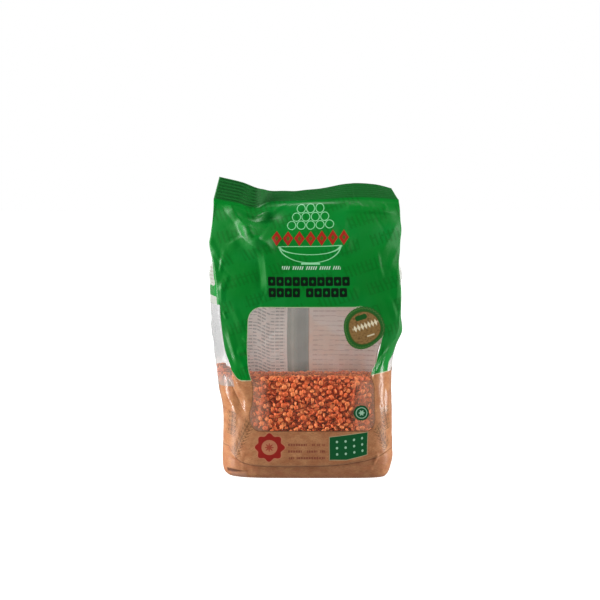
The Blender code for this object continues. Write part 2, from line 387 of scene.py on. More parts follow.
def film_outwards(sideways, height, side):
    """The film's direction outwards, measured between its neighbours on both sides."""
    right = film(np.minimum(sideways + NEIGHBOUR_STEP, HALF_TUBE), height, side)
    left = film(np.maximum(sideways - NEIGHBOUR_STEP, -HALF_TUBE), height, side)
    above = film(sideways, np.minimum(height + NEIGHBOUR_STEP, SEAL_LINE), side)
    below = film(sideways, np.maximum(height - NEIGHBOUR_STEP, 0.0), side)
    outwards = -side * np.cross(right - left, above - below)
    return outwards / np.maximum(np.linalg.norm(outwards, axis=-1, keepdims=True), 1e-12)


print("the film tube is", round(4 * HALF_TUBE / 0.001), "mm round, flat")

# %% [markdown]
# Film doesn't stretch, so a slack bag shows straight ridges between flat facets, and soft waves between
# those. The folds that the photograph shows are listed one by one, in millimetres on the film. Many small
# ones, drawn at random from a fixed seed, run between them. Each is a tent: a sharp crest with a slope to
# either side.

# %% List the folds that show
MM = 0.001
FOLD_FADE = 0.3
FOLD_SHARPNESS = 1.05

# Start and end (sideways, up), the width of the slope right and left of that way, and the height of the
# crest, which is below nought for a valley
FRONT_FOLDS = (
    (-57.0, 190.0, -34.0, 166.0, 5.0, 11.0, 2.4),
    (-48.0, 176.5, -20.0, 154.0, 5.0, 11.0, 2.6),
    (-28.5, 160.0, -27.5, 122.0, 5.0, 11.0, 1.7),
    (-52.0, 184.4, -21.0, 182.2, 2.2, 2.2, 0.8),
    (-54.0, 181.0, -16.0, 177.0, 7.0, 4.0, -1.8),
    (-24.0, 181.6, -12.0, 188.0, 2.2, 2.2, 0.7),
    (-8.0, 186.0, 27.0, 184.4, 2.4, 3.0, 0.6),
    (-26.0, 170.0, -4.0, 161.0, 9.0, 6.0, 0.7),
    (23.0, 180.2, 63.0, 179.4, 1.8, 7.0, 1.3),
    (27.0, 188.0, 30.0, 180.5, 1.8, 1.8, 0.5),
    (34.0, 188.0, 38.0, 180.5, 2.2, 1.6, 0.6),
    (43.0, 188.0, 45.0, 180.5, 1.6, 2.2, 0.5),
    (52.0, 188.0, 55.0, 180.5, 2.0, 2.0, 0.5),
    (8.0, 176.0, 30.0, 150.0, 9.0, 7.0, 0.8),
    (63.0, 176.0, 50.0, 150.0, 6.0, 7.0, 0.9),
    (63.0, 92.0, 46.0, 68.0, 6.0, 5.0, 1.0),
    (63.0, 146.0, 60.0, 116.0, 4.0, 4.0, 0.9),
    (-57.0, 151.0, -61.0, 139.0, 1.4, 1.8, 0.6),
    (-60.0, 136.0, -61.5, 118.0, 3.0, 3.0, 0.7),
    (-54.0, 120.0, -44.0, 100.0, 4.0, 3.0, 0.6),
    (-60.5, 114.5, -57.5, 108.5, 1.4, 1.8, 0.5),
    (-45.5, 97.5, -41.0, 93.0, 1.2, 1.6, 0.4),
    (-58.0, 104.0, -50.0, 76.0, 4.0, 5.0, 0.7),
    (-75.0, 79.0, -47.0, 42.5, 9.0, 9.0, -2.2),
    (-38.0, 66.0, -31.0, 51.0, 4.0, 3.0, 0.5),
    (-31.0, 52.0, -39.0, 36.0, 3.0, 4.0, 0.5),
    (46.0, 70.0, 40.0, 52.0, 3.0, 4.0, 0.5),
    (71.0, 66.0, 70.0, 40.0, 3.0, 3.0, 0.7),
    (49.0, 9.0, 56.0, 18.0, 2.0, 2.5, 0.7),
    (40.0, 5.0, 52.0, 7.5, 2.5, 3.0, 0.5),
)
BACK_FOLDS = (
    (60.0, 186.0, 26.0, 152.0, 9.0, 5.0, 1.2),
    (-58.0, 186.0, -36.0, 158.0, 5.0, 8.0, 1.0),
    (-62.0, 98.0, -44.0, 74.0, 5.0, 6.0, 0.9),
    (62.0, 104.0, 48.0, 80.0, 5.0, 5.0, 0.8),
    (18.0, 178.0, 54.0, 172.0, 4.0, 7.0, 0.8),
    (-40.0, 140.0, -28.0, 118.0, 5.0, 4.0, 0.5),
)


def height_of_folds(rows, sideways, height):
    """How far a list of folds lifts the film, all in millimetres."""
    total = np.zeros_like(sideways)
    for start_s, start_h, end_s, end_h, right_width, left_width, rise in rows:
        length = math.hypot(end_s - start_s, end_h - start_h)
        along_s = (end_s - start_s) / length
        along_h = (end_h - start_h) / length
        run = ((sideways - start_s) * along_s + (height - start_h) * along_h) / length
        off = (sideways - start_s) * along_h - (height - start_h) * along_s
        tent = np.maximum(0.0, 1.0 - np.abs(off) / np.where(off > 0.0, right_width, left_width))
        ends = ease(0.0, FOLD_FADE, run) * (1.0 - ease(1.0 - FOLD_FADE, 1.0, run))
        total = total + rise * tent ** FOLD_SHARPNESS * ends
    return total


SMALL_FOLD_REACH = 92.0
SMALL_FOLD_TURN = 0.6
SMALL_FOLD_LENGTHS = (0.35, 1.0)
SMALL_FOLD_WIDTHS = (1.6, 5.0)
SMALL_FOLD_RISES = (-0.6, 1.0)


def random_folds(count, low_height, high_height, longest, highest, seed):
    """Small folds that run mostly up and down, since the film is pulled to the seal."""
    draw = np.random.default_rng(seed)
    rows = []
    for _ in range(count):
        start_s = draw.uniform(-SMALL_FOLD_REACH, SMALL_FOLD_REACH)
        start_h = draw.uniform(low_height, high_height)
        turn = draw.normal(0.0, SMALL_FOLD_TURN)
        length = longest * draw.uniform(*SMALL_FOLD_LENGTHS)
        end = (start_s + length * math.sin(turn), start_h - length * math.cos(turn))
        widths = draw.uniform(*SMALL_FOLD_WIDTHS, 2)
        rows.append((start_s, start_h, *end, *widths, highest * draw.uniform(*SMALL_FOLD_RISES)))
    return rows


HILL_COUNT = 128


def hills(sideways, height, cell, seed):
    """Smooth random hills from -1 to 1 that lie a cell apart."""
    count = HILL_COUNT
    tops = np.random.default_rng(seed).uniform(-1.0, 1.0, (count, count))
    along = sideways / cell + count / 2
    upwards = height / cell + 2.0
    column = np.floor(along).astype(int)
    row = np.floor(upwards).astype(int)
    part_s = ease(0.0, 1.0, along - column)
    part_h = ease(0.0, 1.0, upwards - row)
    low = tops[row % count, column % count] * (1 - part_s) + tops[row % count, (column + 1) % count] * part_s
    high = (tops[(row + 1) % count, column % count] * (1 - part_s)
            + tops[(row + 1) % count, (column + 1) % count] * part_s)
    return low * (1 - part_h) + high * part_h


# %% Add up the film's relief
FILL_HEIGHT = 67.3
TIGHT_BELOW = FILL_HEIGHT - 8.0
SLACK_ABOVE = FILL_HEIGHT + 18.0
RIM_FADES = (5.0, 4.0, 3.0)

# For the front (-1) and the back (1), above and below the fill: how many, from which height to which, how
# long, how high, and the seed
SMALL_FOLDS = {
    -1: random_folds(70, 84.0, 186.0, 26.0, 0.65, 11) + random_folds(26, 18.0, 84.0, 18.0, 0.30, 12),
    1: random_folds(70, 84.0, 186.0, 26.0, 0.55, 13) + random_folds(26, 18.0, 84.0, 18.0, 0.30, 14),
}

# The height of soft waves, how far apart they lie, and their seed, on slack film and on film drawn tight
SLACK_WAVES = ((0.75, 26.0, 21), (0.20, 8.0, 31))
TIGHT_WAVES = ((0.10, 4.2, 41), (0.15, 12.0, 51))


def waves(rows, s, h, side):
    """Soft waves of several sizes added up."""
    return sum(rise * hills(s, h, cell, seed + side) for rise, cell, seed in rows)


def relief(sideways, height, side):
    """How far the film stands off its plain shape, in metres, at a place on it in metres."""
    s = sideways / MM
    h = height / MM
    slack = ease(TIGHT_BELOW, SLACK_ABOVE, h)
    lift = height_of_folds(FRONT_FOLDS if side < 0 else BACK_FOLDS, s, h)
    lift = lift + height_of_folds(SMALL_FOLDS[side], s, h)
    lift = lift + slack * waves(SLACK_WAVES, s, h, side)
    lift = lift + (1.0 - slack) * waves(TIGHT_WAVES, s, h, side)
    rim = ease(0.0, RIM_FADES[0], HALF_TUBE / MM - np.abs(s))
    rim = rim * ease(0.0, RIM_FADES[1], SEAL_LINE / MM - h) * ease(0.0, RIM_FADES[2], h)
    return MM * lift * rim


def creased_film(sideways, height, side):
    """The film's place in space with all its folds."""
    lift = relief(sideways, height, side)[..., None]
    return film(sideways, height, side) + lift * film_outwards(sideways, height, side)


# %% [markdown]
# The print and the windows are one design on the flat film, so both are drawn in the film's own
# millimetres: s runs sideways from the middle of a panel and h runs up from the floor. Each motif is a
# distance, below nought inside its outline. The same arithmetic then serves twice: on arrays it finds where
# to cut the clear windows out of the mesh, and on a material's sockets it builds the nodes that colour the
# print.

# %% Make arithmetic that works on arrays and in a material's nodes
ARRAY_STEPS = {
    "ADD": np.add, "SUBTRACT": np.subtract, "MULTIPLY": np.multiply, "DIVIDE": np.divide, "SQRT": np.sqrt,
    "MINIMUM": np.minimum, "MAXIMUM": np.maximum, "ABSOLUTE": np.abs, "COSINE": np.cos, "SINE": np.sin,
    "FLOORED_MODULO": np.mod, "ARCTAN2": np.arctan2, "FLOOR": np.floor,
}


class Inked:
    """A number that a material's nodes work out at each place on a surface."""

    def __init__(self, socket):
        self.socket = socket

    def __add__(self, other):
        return reckon("ADD", self, other)

    def __sub__(self, other):
        return reckon("SUBTRACT", self, other)

    def __rsub__(self, other):
        return reckon("SUBTRACT", other, self)

    def __mul__(self, other):
        return reckon("MULTIPLY", self, other)

    def __truediv__(self, other):
        return reckon("DIVIDE", self, other)

    __radd__ = __add__
    __rmul__ = __mul__


def reckon(step, *values, clamp=False):
    """One step of arithmetic: with arrays where no value is inked, or else as one more math node."""
    inked = [value for value in values if isinstance(value, Inked)]
    if not inked:
        return ARRAY_STEPS[step](*values)
    tree = inked[0].socket.id_data
    node = tree.nodes.new("ShaderNodeMath")
    node.operation = step
    node.use_clamp = clamp
    for socket, value in zip(node.inputs, values):
        if isinstance(value, Inked):
            tree.links.new(value.socket, socket)
        else:
            socket.default_value = value
    return Inked(node.outputs["Value"])


def least(first, second):
    return reckon("MINIMUM", first, second)


def most(first, second):
    return reckon("MAXIMUM", first, second)


def size_of(value):
    return reckon("ABSOLUTE", value)


def root(value):
    return reckon("SQRT", value)


def rise_of(value, start, stop):
    """0 at start, 1 at stop, and an S-shaped way between them."""
    part = least(most((value - start) / (stop - start), 0.0), 1.0)
    return part * part * (3.0 - part * 2.0)


def swell_of(value, middle, reach):
    """1 in the middle and 0 from a reach to either side."""
    return rise_of(size_of(value - middle), reach, 0.0)


def disc(s, h, middle, radius):
    """Distance outside a round spot."""
    off_s = s - middle[0]
    off_h = h - middle[1]
    return root(off_s * off_s + off_h * off_h) - radius


def box(s, h, middle, half_width, half_height, corner):
    """Distance outside a rectangle with round corners. Its half width and middle may vary with the height."""
    past_s = size_of(s - middle[0]) - half_width + corner
    past_h = size_of(h - middle[1]) - half_height + corner
    out_s = most(past_s, 0.0)
    out_h = most(past_h, 0.0)
    return root(out_s * out_s + out_h * out_h) + least(most(past_s, past_h), 0.0) - corner


# %% Draw the outlines of the clear windows
WINDOW_LOW = 33.8
WINDOW_HIGH = 117.0
WINDOW_CORNER = 9.0
WINDOW_LEFT = 41.4
LEFT_WAIST = (63.0, 14.0, 2.4)
LEFT_FOOT = (53.0, 44.0, 3.4)
WINDOW_RIGHT = 43.0
RIGHT_WIDENS = (117.5, 89.5, 11.0)
RIGHT_WAIST = (72.0, 9.0, 3.9)
BADGE_MIDDLE = (38.2, 103.3)
BADGE_RADIUS = 14.3
SPOT_MIDDLE = (41.3, 46.0)
SPOT_RADIUS = 5.2
SPOT_STRETCH = 1.29
PANEL_EDGE = 64.0
GUSSET_PRINT_FROM = 64.6
GUSSET_CLEAR_LOW = 62.0
GUSSET_CLEAR_HIGH = 118.5
FRONT_GUSSET_LOW_LEFT = 63.0
FRONT_GUSSET_LOW_RIGHT = 73.0
LEFT_CUT_AT = 59.1
LEFT_CUT_RISES = (74.0, 89.0)
LEFT_CUT_DRIFT = 3.6
RIGHT_CUT_AT = 70.8
RIGHT_CUT_RISES = (78.0, 90.0)
RIGHT_CUT_DRIFT = 9.6


def front_window(s, h):
    """Distance outside the large window, whose sides are drawn in at the waist and spread below."""
    left = WINDOW_LEFT - swell_of(h, *LEFT_WAIST[:2]) * LEFT_WAIST[2]
    left = left + rise_of(h, *LEFT_FOOT[:2]) * LEFT_FOOT[2]
    spread = least(most((h - RIGHT_WIDENS[0]) / (RIGHT_WIDENS[1] - RIGHT_WIDENS[0]), 0.0), 1.0)
    right = WINDOW_RIGHT + spread * RIGHT_WIDENS[2] - swell_of(h, *RIGHT_WAIST[:2]) * RIGHT_WAIST[2]
    middle = ((right - left) * 0.5, (WINDOW_LOW + WINDOW_HIGH) / 2)
    return box(s, h, middle, (left + right) * 0.5, (WINDOW_HIGH - WINDOW_LOW) / 2, WINDOW_CORNER)


def stretch_between(value, low, high):
    """Distance outside a range."""
    return size_of(value - (low + high) / 2) - (high - low) / 2


def gusset_window(s, h):
    """Distance outside the clear stretch of the gussets, on the back half of the film."""
    return most(stretch_between(h, GUSSET_CLEAR_LOW, GUSSET_CLEAR_HIGH), GUSSET_PRINT_FROM - size_of(s))


def front_gusset_window(s, h):
    """Distance outside the clear stretch of the gussets on the front half, whose print is cut askew."""
    left = rise_of(h, *LEFT_CUT_RISES) * LEFT_CUT_DRIFT + (s + LEFT_CUT_AT)
    right = rise_of(h, *RIGHT_CUT_RISES) * RIGHT_CUT_DRIFT + (RIGHT_CUT_AT - s)
    left = most(left, stretch_between(h, FRONT_GUSSET_LOW_LEFT, GUSSET_CLEAR_HIGH))
    return least(left, most(right, stretch_between(h, FRONT_GUSSET_LOW_RIGHT, GUSSET_CLEAR_HIGH)))


def spot(s, h):
    """Distance outside the small round mark, which the bulging film shows narrower than it is."""
    return disc((s - SPOT_MIDDLE[0]) / SPOT_STRETCH, h, (0.0, SPOT_MIDDLE[1]), SPOT_RADIUS)


def clear_front(s, h):
    """Distance outside all that is clear on the front half of the film."""
    window = most(front_window(s, h), 0.0 - disc(s, h, BADGE_MIDDLE, BADGE_RADIUS))
    return least(most(window, 0.0 - spot(s, h)), front_gusset_window(s, h))


# %% [markdown]
# A grid primitive is film as it comes off the roll: flat, with straight rows. It is first cut while it is
# flat. Faces are sorted by their middles, and the corners between the two sorts are slid onto the window's
# outline, so that the cut is smooth and both sides share it. Then the sheet is wrapped: every corner goes
# to the place in space that its millimetres on the film give.

# %% Roll out the film, cut its windows and wrap it
WEB_COLUMNS = 300
WEB_ROWS = 290
FILM_ON_MAP = 0.220
SLIDES = 6
SLIDE_STEP = 0.01
LEAST_STEEPNESS = 0.25
WELD_DISTANCE = 1e-6


def select_only(*objects):
    """These objects selected, the first one active, and nothing else."""
    bpy.ops.object.select_all(action="DESELECT")
    for each in objects:
        each.select_set(True)
    bpy.context.view_layer.objects.active = objects[0]


def weld(sheet):
    """Corners that lie on one another joined."""
    select_only(sheet)
    bpy.ops.object.mode_set(mode="EDIT")
    bpy.ops.mesh.select_all(action="SELECT")
    bpy.ops.mesh.remove_doubles(threshold=WELD_DISTANCE)
    bpy.ops.object.mode_set(mode="OBJECT")


def vectors_of(sheet, key):
    """The place or the normal of every corner of a mesh."""
    values = np.empty(3 * len(sheet.data.vertices))
    sheet.data.vertices.foreach_get(key, values)
    return values.reshape(-1, 3)


def corner_numbers(sheet):
    """The number of the mesh's corner at each corner of each face."""
    numbers = np.empty(len(sheet.data.loops), dtype=np.int32)
    sheet.data.loops.foreach_get("vertex_index", numbers)
    return numbers


def roll_out(name, columns, rows):
    """A flat grid, and where each of its corners lies on it, from -1 to 1 across and from 0 to 1 up."""
    bpy.ops.object.select_all(action="DESELECT")
    bpy.ops.mesh.primitive_grid_add(x_subdivisions=columns, y_subdivisions=rows, size=2.0)
    sheet = bpy.context.active_object
    sheet.name = name
    sheet.data.name = name
    flat = vectors_of(sheet, "co")
    return sheet, flat[:, 0].copy(), (flat[:, 1] + 1.0) / 2.0


def move_corners(sheet, places):
    """Each corner of a mesh to its place."""
    sheet.data.vertices.foreach_set("co", np.ascontiguousarray(places, dtype=np.float32).ravel())
    sheet.data.update()


def map_film(sheet, sideways, height):
    """A UV map that holds the way along the film and the height on it."""
    places = np.column_stack((0.5 + sideways / FILM_ON_MAP, height / FILM_ON_MAP))[corner_numbers(sheet)]
    sheet.data.uv_layers[0].name = "film"
    sheet.data.uv_layers[0].data.foreach_set("uv", places.astype(np.float32).ravel())


def slide_to_outline(sideways, height, outline, moving):
    """Corners moved straight to where an outline's distance is nought."""
    s = sideways[moving] / MM
    h = height[moving] / MM
    for _ in range(SLIDES):
        off = outline(s, h)
        slope_s = (outline(s + SLIDE_STEP, h) - outline(s - SLIDE_STEP, h)) / (2 * SLIDE_STEP)
        slope_h = (outline(s, h + SLIDE_STEP) - outline(s, h - SLIDE_STEP)) / (2 * SLIDE_STEP)
        steep = np.maximum(slope_s ** 2 + slope_h ** 2, LEAST_STEEPNESS)
        s = s - off * slope_s / steep
        h = h - off * slope_h / steep
    sideways[moving] = s * MM
    height[moving] = h * MM


def cut_out(sheet, sideways, height, outline):
    """The faces inside an outline, with the mesh's corners slid onto it."""
    corners = corner_numbers(sheet).reshape(-1, 4)
    middle_s = sideways[corners].mean(axis=1) / MM
    middle_h = height[corners].mean(axis=1) / MM
    inside = outline(middle_s, middle_h) < 0.0
    touched_in = np.zeros(len(sideways), dtype=bool)
    touched_out = np.zeros(len(sideways), dtype=bool)
    touched_in[corners[inside].ravel()] = True
    touched_out[corners[~inside].ravel()] = True
    slide_to_outline(sideways, height, outline, touched_in & touched_out)
    return inside


def part_from(sheet, chosen, name):
    """The chosen faces as an object of their own."""
    select_only(sheet)
    bpy.ops.object.mode_set(mode="EDIT")
    bpy.ops.mesh.select_all(action="DESELECT")
    bpy.context.tool_settings.mesh_select_mode = (False, False, True)
    bpy.ops.object.mode_set(mode="OBJECT")
    sheet.data.polygons.foreach_set("select", chosen)
    bpy.ops.object.mode_set(mode="EDIT")
    bpy.ops.mesh.separate(type="SELECTED")
    bpy.ops.object.mode_set(mode="OBJECT")
    parted = [each for each in bpy.context.selected_objects if each is not sheet][0]
    parted.name = name
    parted.data.name = name
    return parted


def wrap_web(name, window_name, side, outline):
    """Half of the film tube: a panel with half a gusset on either side, and its windows apart."""
    sheet, along, upwards = roll_out(name, WEB_COLUMNS, WEB_ROWS)
    sideways = along * HALF_TUBE
    height = upwards * SEAL_LINE
    clear = cut_out(sheet, sideways, height, outline)
    move_corners(sheet, creased_film(sideways, height, side))
    map_film(sheet, sideways, height)
    if side > 0:
        sheet.data.flip_normals()
    sheet.data.shade_smooth()
    window = part_from(sheet, clear, window_name)
    print(name, len(sheet.data.polygons), "faces,", window_name, len(window.data.polygons))
    return sheet, window


printed_front, clear_front_film = wrap_web("printed_front", "window_film_front", -1, clear_front)
printed_back, clear_back_film = wrap_web("printed_back", "window_film_back", 1, gusset_window)

# %% [markdown]
# Across the top the layers are pressed together between ribbed hot jaws. Beside the edges the folded
# gussets lie in between, so the seal is thicker there, and it ends in a step. It stands up at its left end
# and leans back over the rest. One grid makes it: up the front face, over the edge, down the back face,
# with ribs in both.

# %% Press the top seal
SEAL_COLUMNS = 240
SEAL_ROWS = 64
RIB_COUNT = 7
RIB_DEPTH = 0.00026
SEAL_PINCH = 0.0008
STEP_AT = -0.0310
STEP_REACH = 0.0050
RIBS_FADE_IN = (0.0, 0.06)
RIBS_FADE_OUT = (0.95, 1.0)
SEAL_CURL = 0.0004


def press_seal():
    """A flat sleeve that stands on the upper edges of the two webs and is closed at its ends and its top."""
    seal, along, upwards = roll_out("top_seal", SEAL_COLUMNS, 2 * SEAL_ROWS)
    sideways = along * PANEL_HALF
    share = 1.0 - np.abs(2.0 * upwards - 1.0)
    side = np.where(upwards <= 0.5, -1.0, 1.0)
    x = along * np.where(along > 0.0, REACH[-1][2], REACH[-1][1])
    lean = np.radians(smooth_course(SEAL_COURSE, 3, x))
    to_end = np.minimum((1.0 - np.abs(along)) * PANEL_HALF, (1.0 - share) * SEAL_HEIGHT)
    pinch = np.sqrt(np.clip(to_end / SEAL_PINCH, 0.0, 1.0))
    half = 0.5 * seal_layers(x) * pinch
    fade = ease(*RIBS_FADE_IN, share) * (1.0 - ease(*RIBS_FADE_OUT, share))
    past_step = 1.0 - ease(0.0, STEP_REACH, np.abs(x - STEP_AT))
    rib = RIB_DEPTH * np.sin(2.0 * math.pi * RIB_COUNT * share) * fade * (1.0 - past_step)
    curl = SEAL_CURL * hills(sideways / MM, share * 8.0, 9.0, 61) * share
    push = side * half + rib + curl
    up = np.stack((smooth_course(SEAL_COURSE, 4, x), np.sin(lean), np.cos(lean)), axis=-1)
    out = np.stack((np.zeros_like(x), np.cos(lean), -np.sin(lean)), axis=-1)
    line = np.stack((x, smooth_course(SEAL_COURSE, 2, x), smooth_course(SEAL_COURSE, 1, x)), axis=-1)
    places = line + up * (SEAL_HEIGHT * share)[:, None] + out * push[:, None] + np.array(TO_MIDDLE)
    move_corners(seal, places)
    map_film(seal, sideways, SEAL_LINE + SEAL_HEIGHT * share)
    weld(seal)
    seal.data.shade_smooth()
    print("top_seal", len(seal.data.polygons), "faces")
    return seal


top_seal = press_seal()

# %% [markdown]
# The tube is closed down the back by a fin seal: both edges of the sheet pressed face to face and folded
# flat to one side. It is a narrow ribbed strip that stands just off the back panel, with a free edge that
# lifts a little, and a thin Solidify modifier gives it the thickness of two layers.

# %% Press the fin seal down the back
FIN_WIDTH = 0.0135
FIN_LOW = 0.0110
FIN_HIGH = 0.1850
FIN_COLUMNS = 22
FIN_ROWS = 280
FIN_STANDS_OFF = 0.00045
FIN_LIFT = 0.0006
FIN_WAVE = 0.8
FIN_RIB_PITCH = 0.0022
FIN_RIB_DEPTH = 0.00010
FIN_THICKNESS = 0.00018


def press_fin():
    """A ribbed strip on the back panel, attached at the middle and free at its other edge."""
    fin, along, upwards = roll_out("fin_seal", FIN_COLUMNS, FIN_ROWS)
    share = (1.0 - along) / 2.0
    sideways = -FIN_WIDTH * share
    height = FIN_LOW + (FIN_HIGH - FIN_LOW) * upwards
    wave = 1.0 + FIN_WAVE * hills(height / MM, np.zeros_like(height), 16.0, 71)
    rib = FIN_RIB_DEPTH * np.sin(2.0 * math.pi * height / FIN_RIB_PITCH)
    off = FIN_STANDS_OFF + FIN_LIFT * share ** 2 * wave + rib
    places = creased_film(sideways, height, 1) + off[:, None] * film_outwards(sideways, height, 1)
    move_corners(fin, places)
    map_film(fin, sideways, height)
    fin.data.flip_normals()
    fin.data.shade_smooth()
    select_only(fin)
    layer = fin.modifiers.new("two_layers", "SOLIDIFY")
    layer.thickness = FIN_THICKNESS
    layer.offset = 0.0
    bpy.ops.object.modifier_apply(modifier="two_layers")
    print("fin_seal", len(fin.data.polygons), "faces")
    return fin


fin_seal = press_fin()

# %% [markdown]
# Underneath, the tube is folded like a parcel: the two gussets turn in as triangles, the front and the back
# fold over them, and their ends are sealed in a ribbed strip. The bag rests on the rim and on that strip.
# The sheet starts at the webs' lower edge, so its corners are rings of that edge drawn in towards the
# middle.

# %% Fold the block bottom
BOTTOM_RINGS = 26
BOTTOM_RISE = 0.0011
FLAP_STEP = 0.0005
STRIP_HALF_WIDTH = 0.0065
STRIP_HALF_LENGTH = 0.047
STRIP_DROP = 0.0007
STRIP_RIB_PITCH = 0.0020
STRIP_RIB_DEPTH = 0.0001
STRIP_SOFTNESS = 0.0006
TRIANGLE_CORNER = (0.056, 0.036)
TRIANGLE_SLANT = 0.9
TRIANGLE_SOFTNESS = 0.0005
BOTTOM_WAVE = 0.00012
BOTTOM_RIM = 0.05


def fold_bottom():
    """The folded underside, between the lower edges of the two webs."""
    sheet, along, upwards = roll_out("folded_bottom", 2 * WEB_COLUMNS, BOTTOM_RINGS)
    on_front = along <= 0.0
    sideways = np.where(on_front, (2.0 * along + 1.0) * HALF_TUBE, (1.0 - 2.0 * along) * HALF_TUBE)
    level = np.zeros_like(sideways)
    rim = np.where(on_front[:, None], film(sideways, level, -1), film(sideways, level, 1))
    middle = np.array(TO_MIDDLE)
    share = 1.0 - upwards
    places = middle + (rim - middle) * share[:, None]
    x = places[:, 0]
    y = places[:, 1]
    diagonal = (np.abs(x) - TRIANGLE_CORNER[0]) + (TRIANGLE_CORNER[1] - np.abs(y)) * TRIANGLE_SLANT
    triangles = ease(-TRIANGLE_SOFTNESS, TRIANGLE_SOFTNESS, diagonal)
    on_strip = 1.0 - ease(-STRIP_SOFTNESS, STRIP_SOFTNESS, np.abs(y) - STRIP_HALF_WIDTH)
    on_strip = on_strip * (1.0 - ease(-STRIP_SOFTNESS, STRIP_SOFTNESS, np.abs(x) - STRIP_HALF_LENGTH))
    ribs = STRIP_RIB_DEPTH * np.sin(2.0 * math.pi * y / STRIP_RIB_PITCH)
    rise = BOTTOM_RISE + FLAP_STEP * triangles - on_strip * (STRIP_DROP + ribs)
    rise = rise + BOTTOM_WAVE * hills(x / MM, y / MM, 7.0, 81)
    places[:, 2] = rise * ease(0.0, BOTTOM_RIM, upwards)
    move_corners(sheet, places)
    map_film(sheet, x, 0.02 + 0.25 * (y + 0.04))
    sheet.data.flip_normals()
    weld(sheet)
    sheet.data.shade_smooth()
    print("folded_bottom", len(sheet.data.polygons), "faces")
    return sheet


folded_bottom = fold_bottom()

# %% [markdown]
# Red lentils are sold hulled. Most are split into two halves, domed on one side and a little hollow on the
# other. Some are whole, like small lenses, and some are broken. One of each is modelled from a sphere by
# squeezing its two halves, and the broken one is bisected. Each has about forty faces, as thousands are
# needed.

# %% Model one lentil of each kind
LENTIL_RADIUS = 0.00180
LENTIL_SEGMENTS = 10
LENTIL_RINGS = 4
SPLIT_DOME = 0.36
SPLIT_FLAT = -0.14
WHOLE_HALF = 0.31
BREAK_AT = 0.15
BREAK_SLANT = 0.25


def squeeze(rising, share):
    """The chosen half of the sphere squeezed towards its equator."""
    lentil = bpy.context.active_object
    bpy.ops.mesh.select_all(action="DESELECT")
    bpy.ops.object.mode_set(mode="OBJECT")
    for corner in lentil.data.vertices:
        corner.select = corner.co.z * rising > 1e-7
    bpy.ops.object.mode_set(mode="EDIT")
    bpy.ops.transform.resize(value=(1.0, 1.0, share), center_override=(0.0, 0.0, 0.0))


def model_lentil(name, upper, lower, broken):
    """One lentil lying flat at the origin, as an array of its corners and a list of its faces."""
    bpy.ops.object.select_all(action="DESELECT")
    bpy.ops.mesh.primitive_uv_sphere_add(segments=LENTIL_SEGMENTS, ring_count=LENTIL_RINGS,
                                         radius=LENTIL_RADIUS, location=(0.0, 0.0, 0.0))
    lentil = bpy.context.active_object
    bpy.context.tool_settings.mesh_select_mode = (True, False, False)
    bpy.ops.object.mode_set(mode="EDIT")
    squeeze(1.0, upper)
    squeeze(-1.0, lower)
    if broken:
        bpy.ops.mesh.select_all(action="SELECT")
        bpy.ops.mesh.bisect(plane_co=(BREAK_AT * LENTIL_RADIUS, 0.0, 0.0), plane_no=(1.0, BREAK_SLANT, 0.0),
                            use_fill=True, clear_outer=True)
    bpy.ops.object.mode_set(mode="OBJECT")
    corners = np.array([corner.co for corner in lentil.data.vertices])
    faces = [tuple(face.vertices) for face in lentil.data.polygons]
    bpy.data.objects.remove(lentil)
    print(name, len(corners), "corners", len(faces), "faces")
    return corners, faces


LENTIL_KINDS = {
    "lentils_split": model_lentil("lentils_split", SPLIT_DOME, SPLIT_FLAT, False),
    "lentils_whole": model_lentil("lentils_whole", WHOLE_HALF, WHOLE_HALF, False),
    "lentils_broken": model_lentil("lentils_broken", SPLIT_DOME, SPLIT_FLAT, True),
}

# %% [markdown]
# Only the lentils that can be seen are made: those behind the clear film, three deep, and those on the
# level top, two deep. They are thrown like darts. A dart that lands too near another of its layer is
# dropped, which spreads them evenly and at random. They lie at all angles, as far behind the film as their
# own tilt needs.

# %% Scatter the lentils
LENTIL_SPACING = 0.00262
LAYER_STEP = 0.00150
FILM_GAP = 0.00020
FRONT_TO_BACK = 0.095
FILL_INSET = 0.0026
FILL_SECTION = 0.065
FILL_ROUNDNESS = 4
FILL_WAVE = 0.6
LEFT_RISE = 8.0
LEFT_RISE_FROM = -50.0
LEFT_RISE_FULL = -62.0
FILM_REACH = 0.9
BELOW_LEVEL = 0.0012


def fill_level(x, y):
    """The height of the lentils' top, which falls a little to the back and rises into the left gusset."""
    left_rise = LEFT_RISE * (1.0 - ease(LEFT_RISE_FULL, LEFT_RISE_FROM, x / MM))
    slope = -FRONT_TO_BACK * y / MM
    return MM * (FILL_HEIGHT + slope + left_rise + FILL_WAVE * hills(x / MM, y / MM, 15.0, 91))


def lowest_film(sideways, height, side):
    """The film's place in space with its relief as deep as anywhere within a lentil's reach."""
    reach = FILM_REACH * LENTIL_RADIUS
    near = [relief(sideways + step_s * reach, height + step_h * reach, side)
            for step_s in (-1.0, 0.0, 1.0) for step_h in (-1.0, 0.0, 1.0)]
    lift = np.minimum.reduce(near)[:, None]
    return film(sideways, height, side) + lift * film_outwards(sideways, height, side)


def spread(places, spacing):
    """Which of the places are kept, so that none is nearer to another than the spacing."""
    kept = []
    taken = np.empty((0, 3))
    for index, place in enumerate(places):
        if len(taken) and ((taken - place) ** 2).sum(axis=1).min() < spacing ** 2:
            continue
        kept.append(index)
        taken = np.vstack((taken, place))
    return np.array(kept)


def lean_at_random(outwards, tilt, draw):
    """Axes that lean from the given directions by up to a tilt."""
    loose = draw.normal(size=outwards.shape)
    loose = loose / np.linalg.norm(loose, axis=1, keepdims=True)
    axes = outwards + loose * tilt * draw.uniform(0.2, 1.0, (len(outwards), 1))
    return axes / np.linalg.norm(axes, axis=1, keepdims=True)


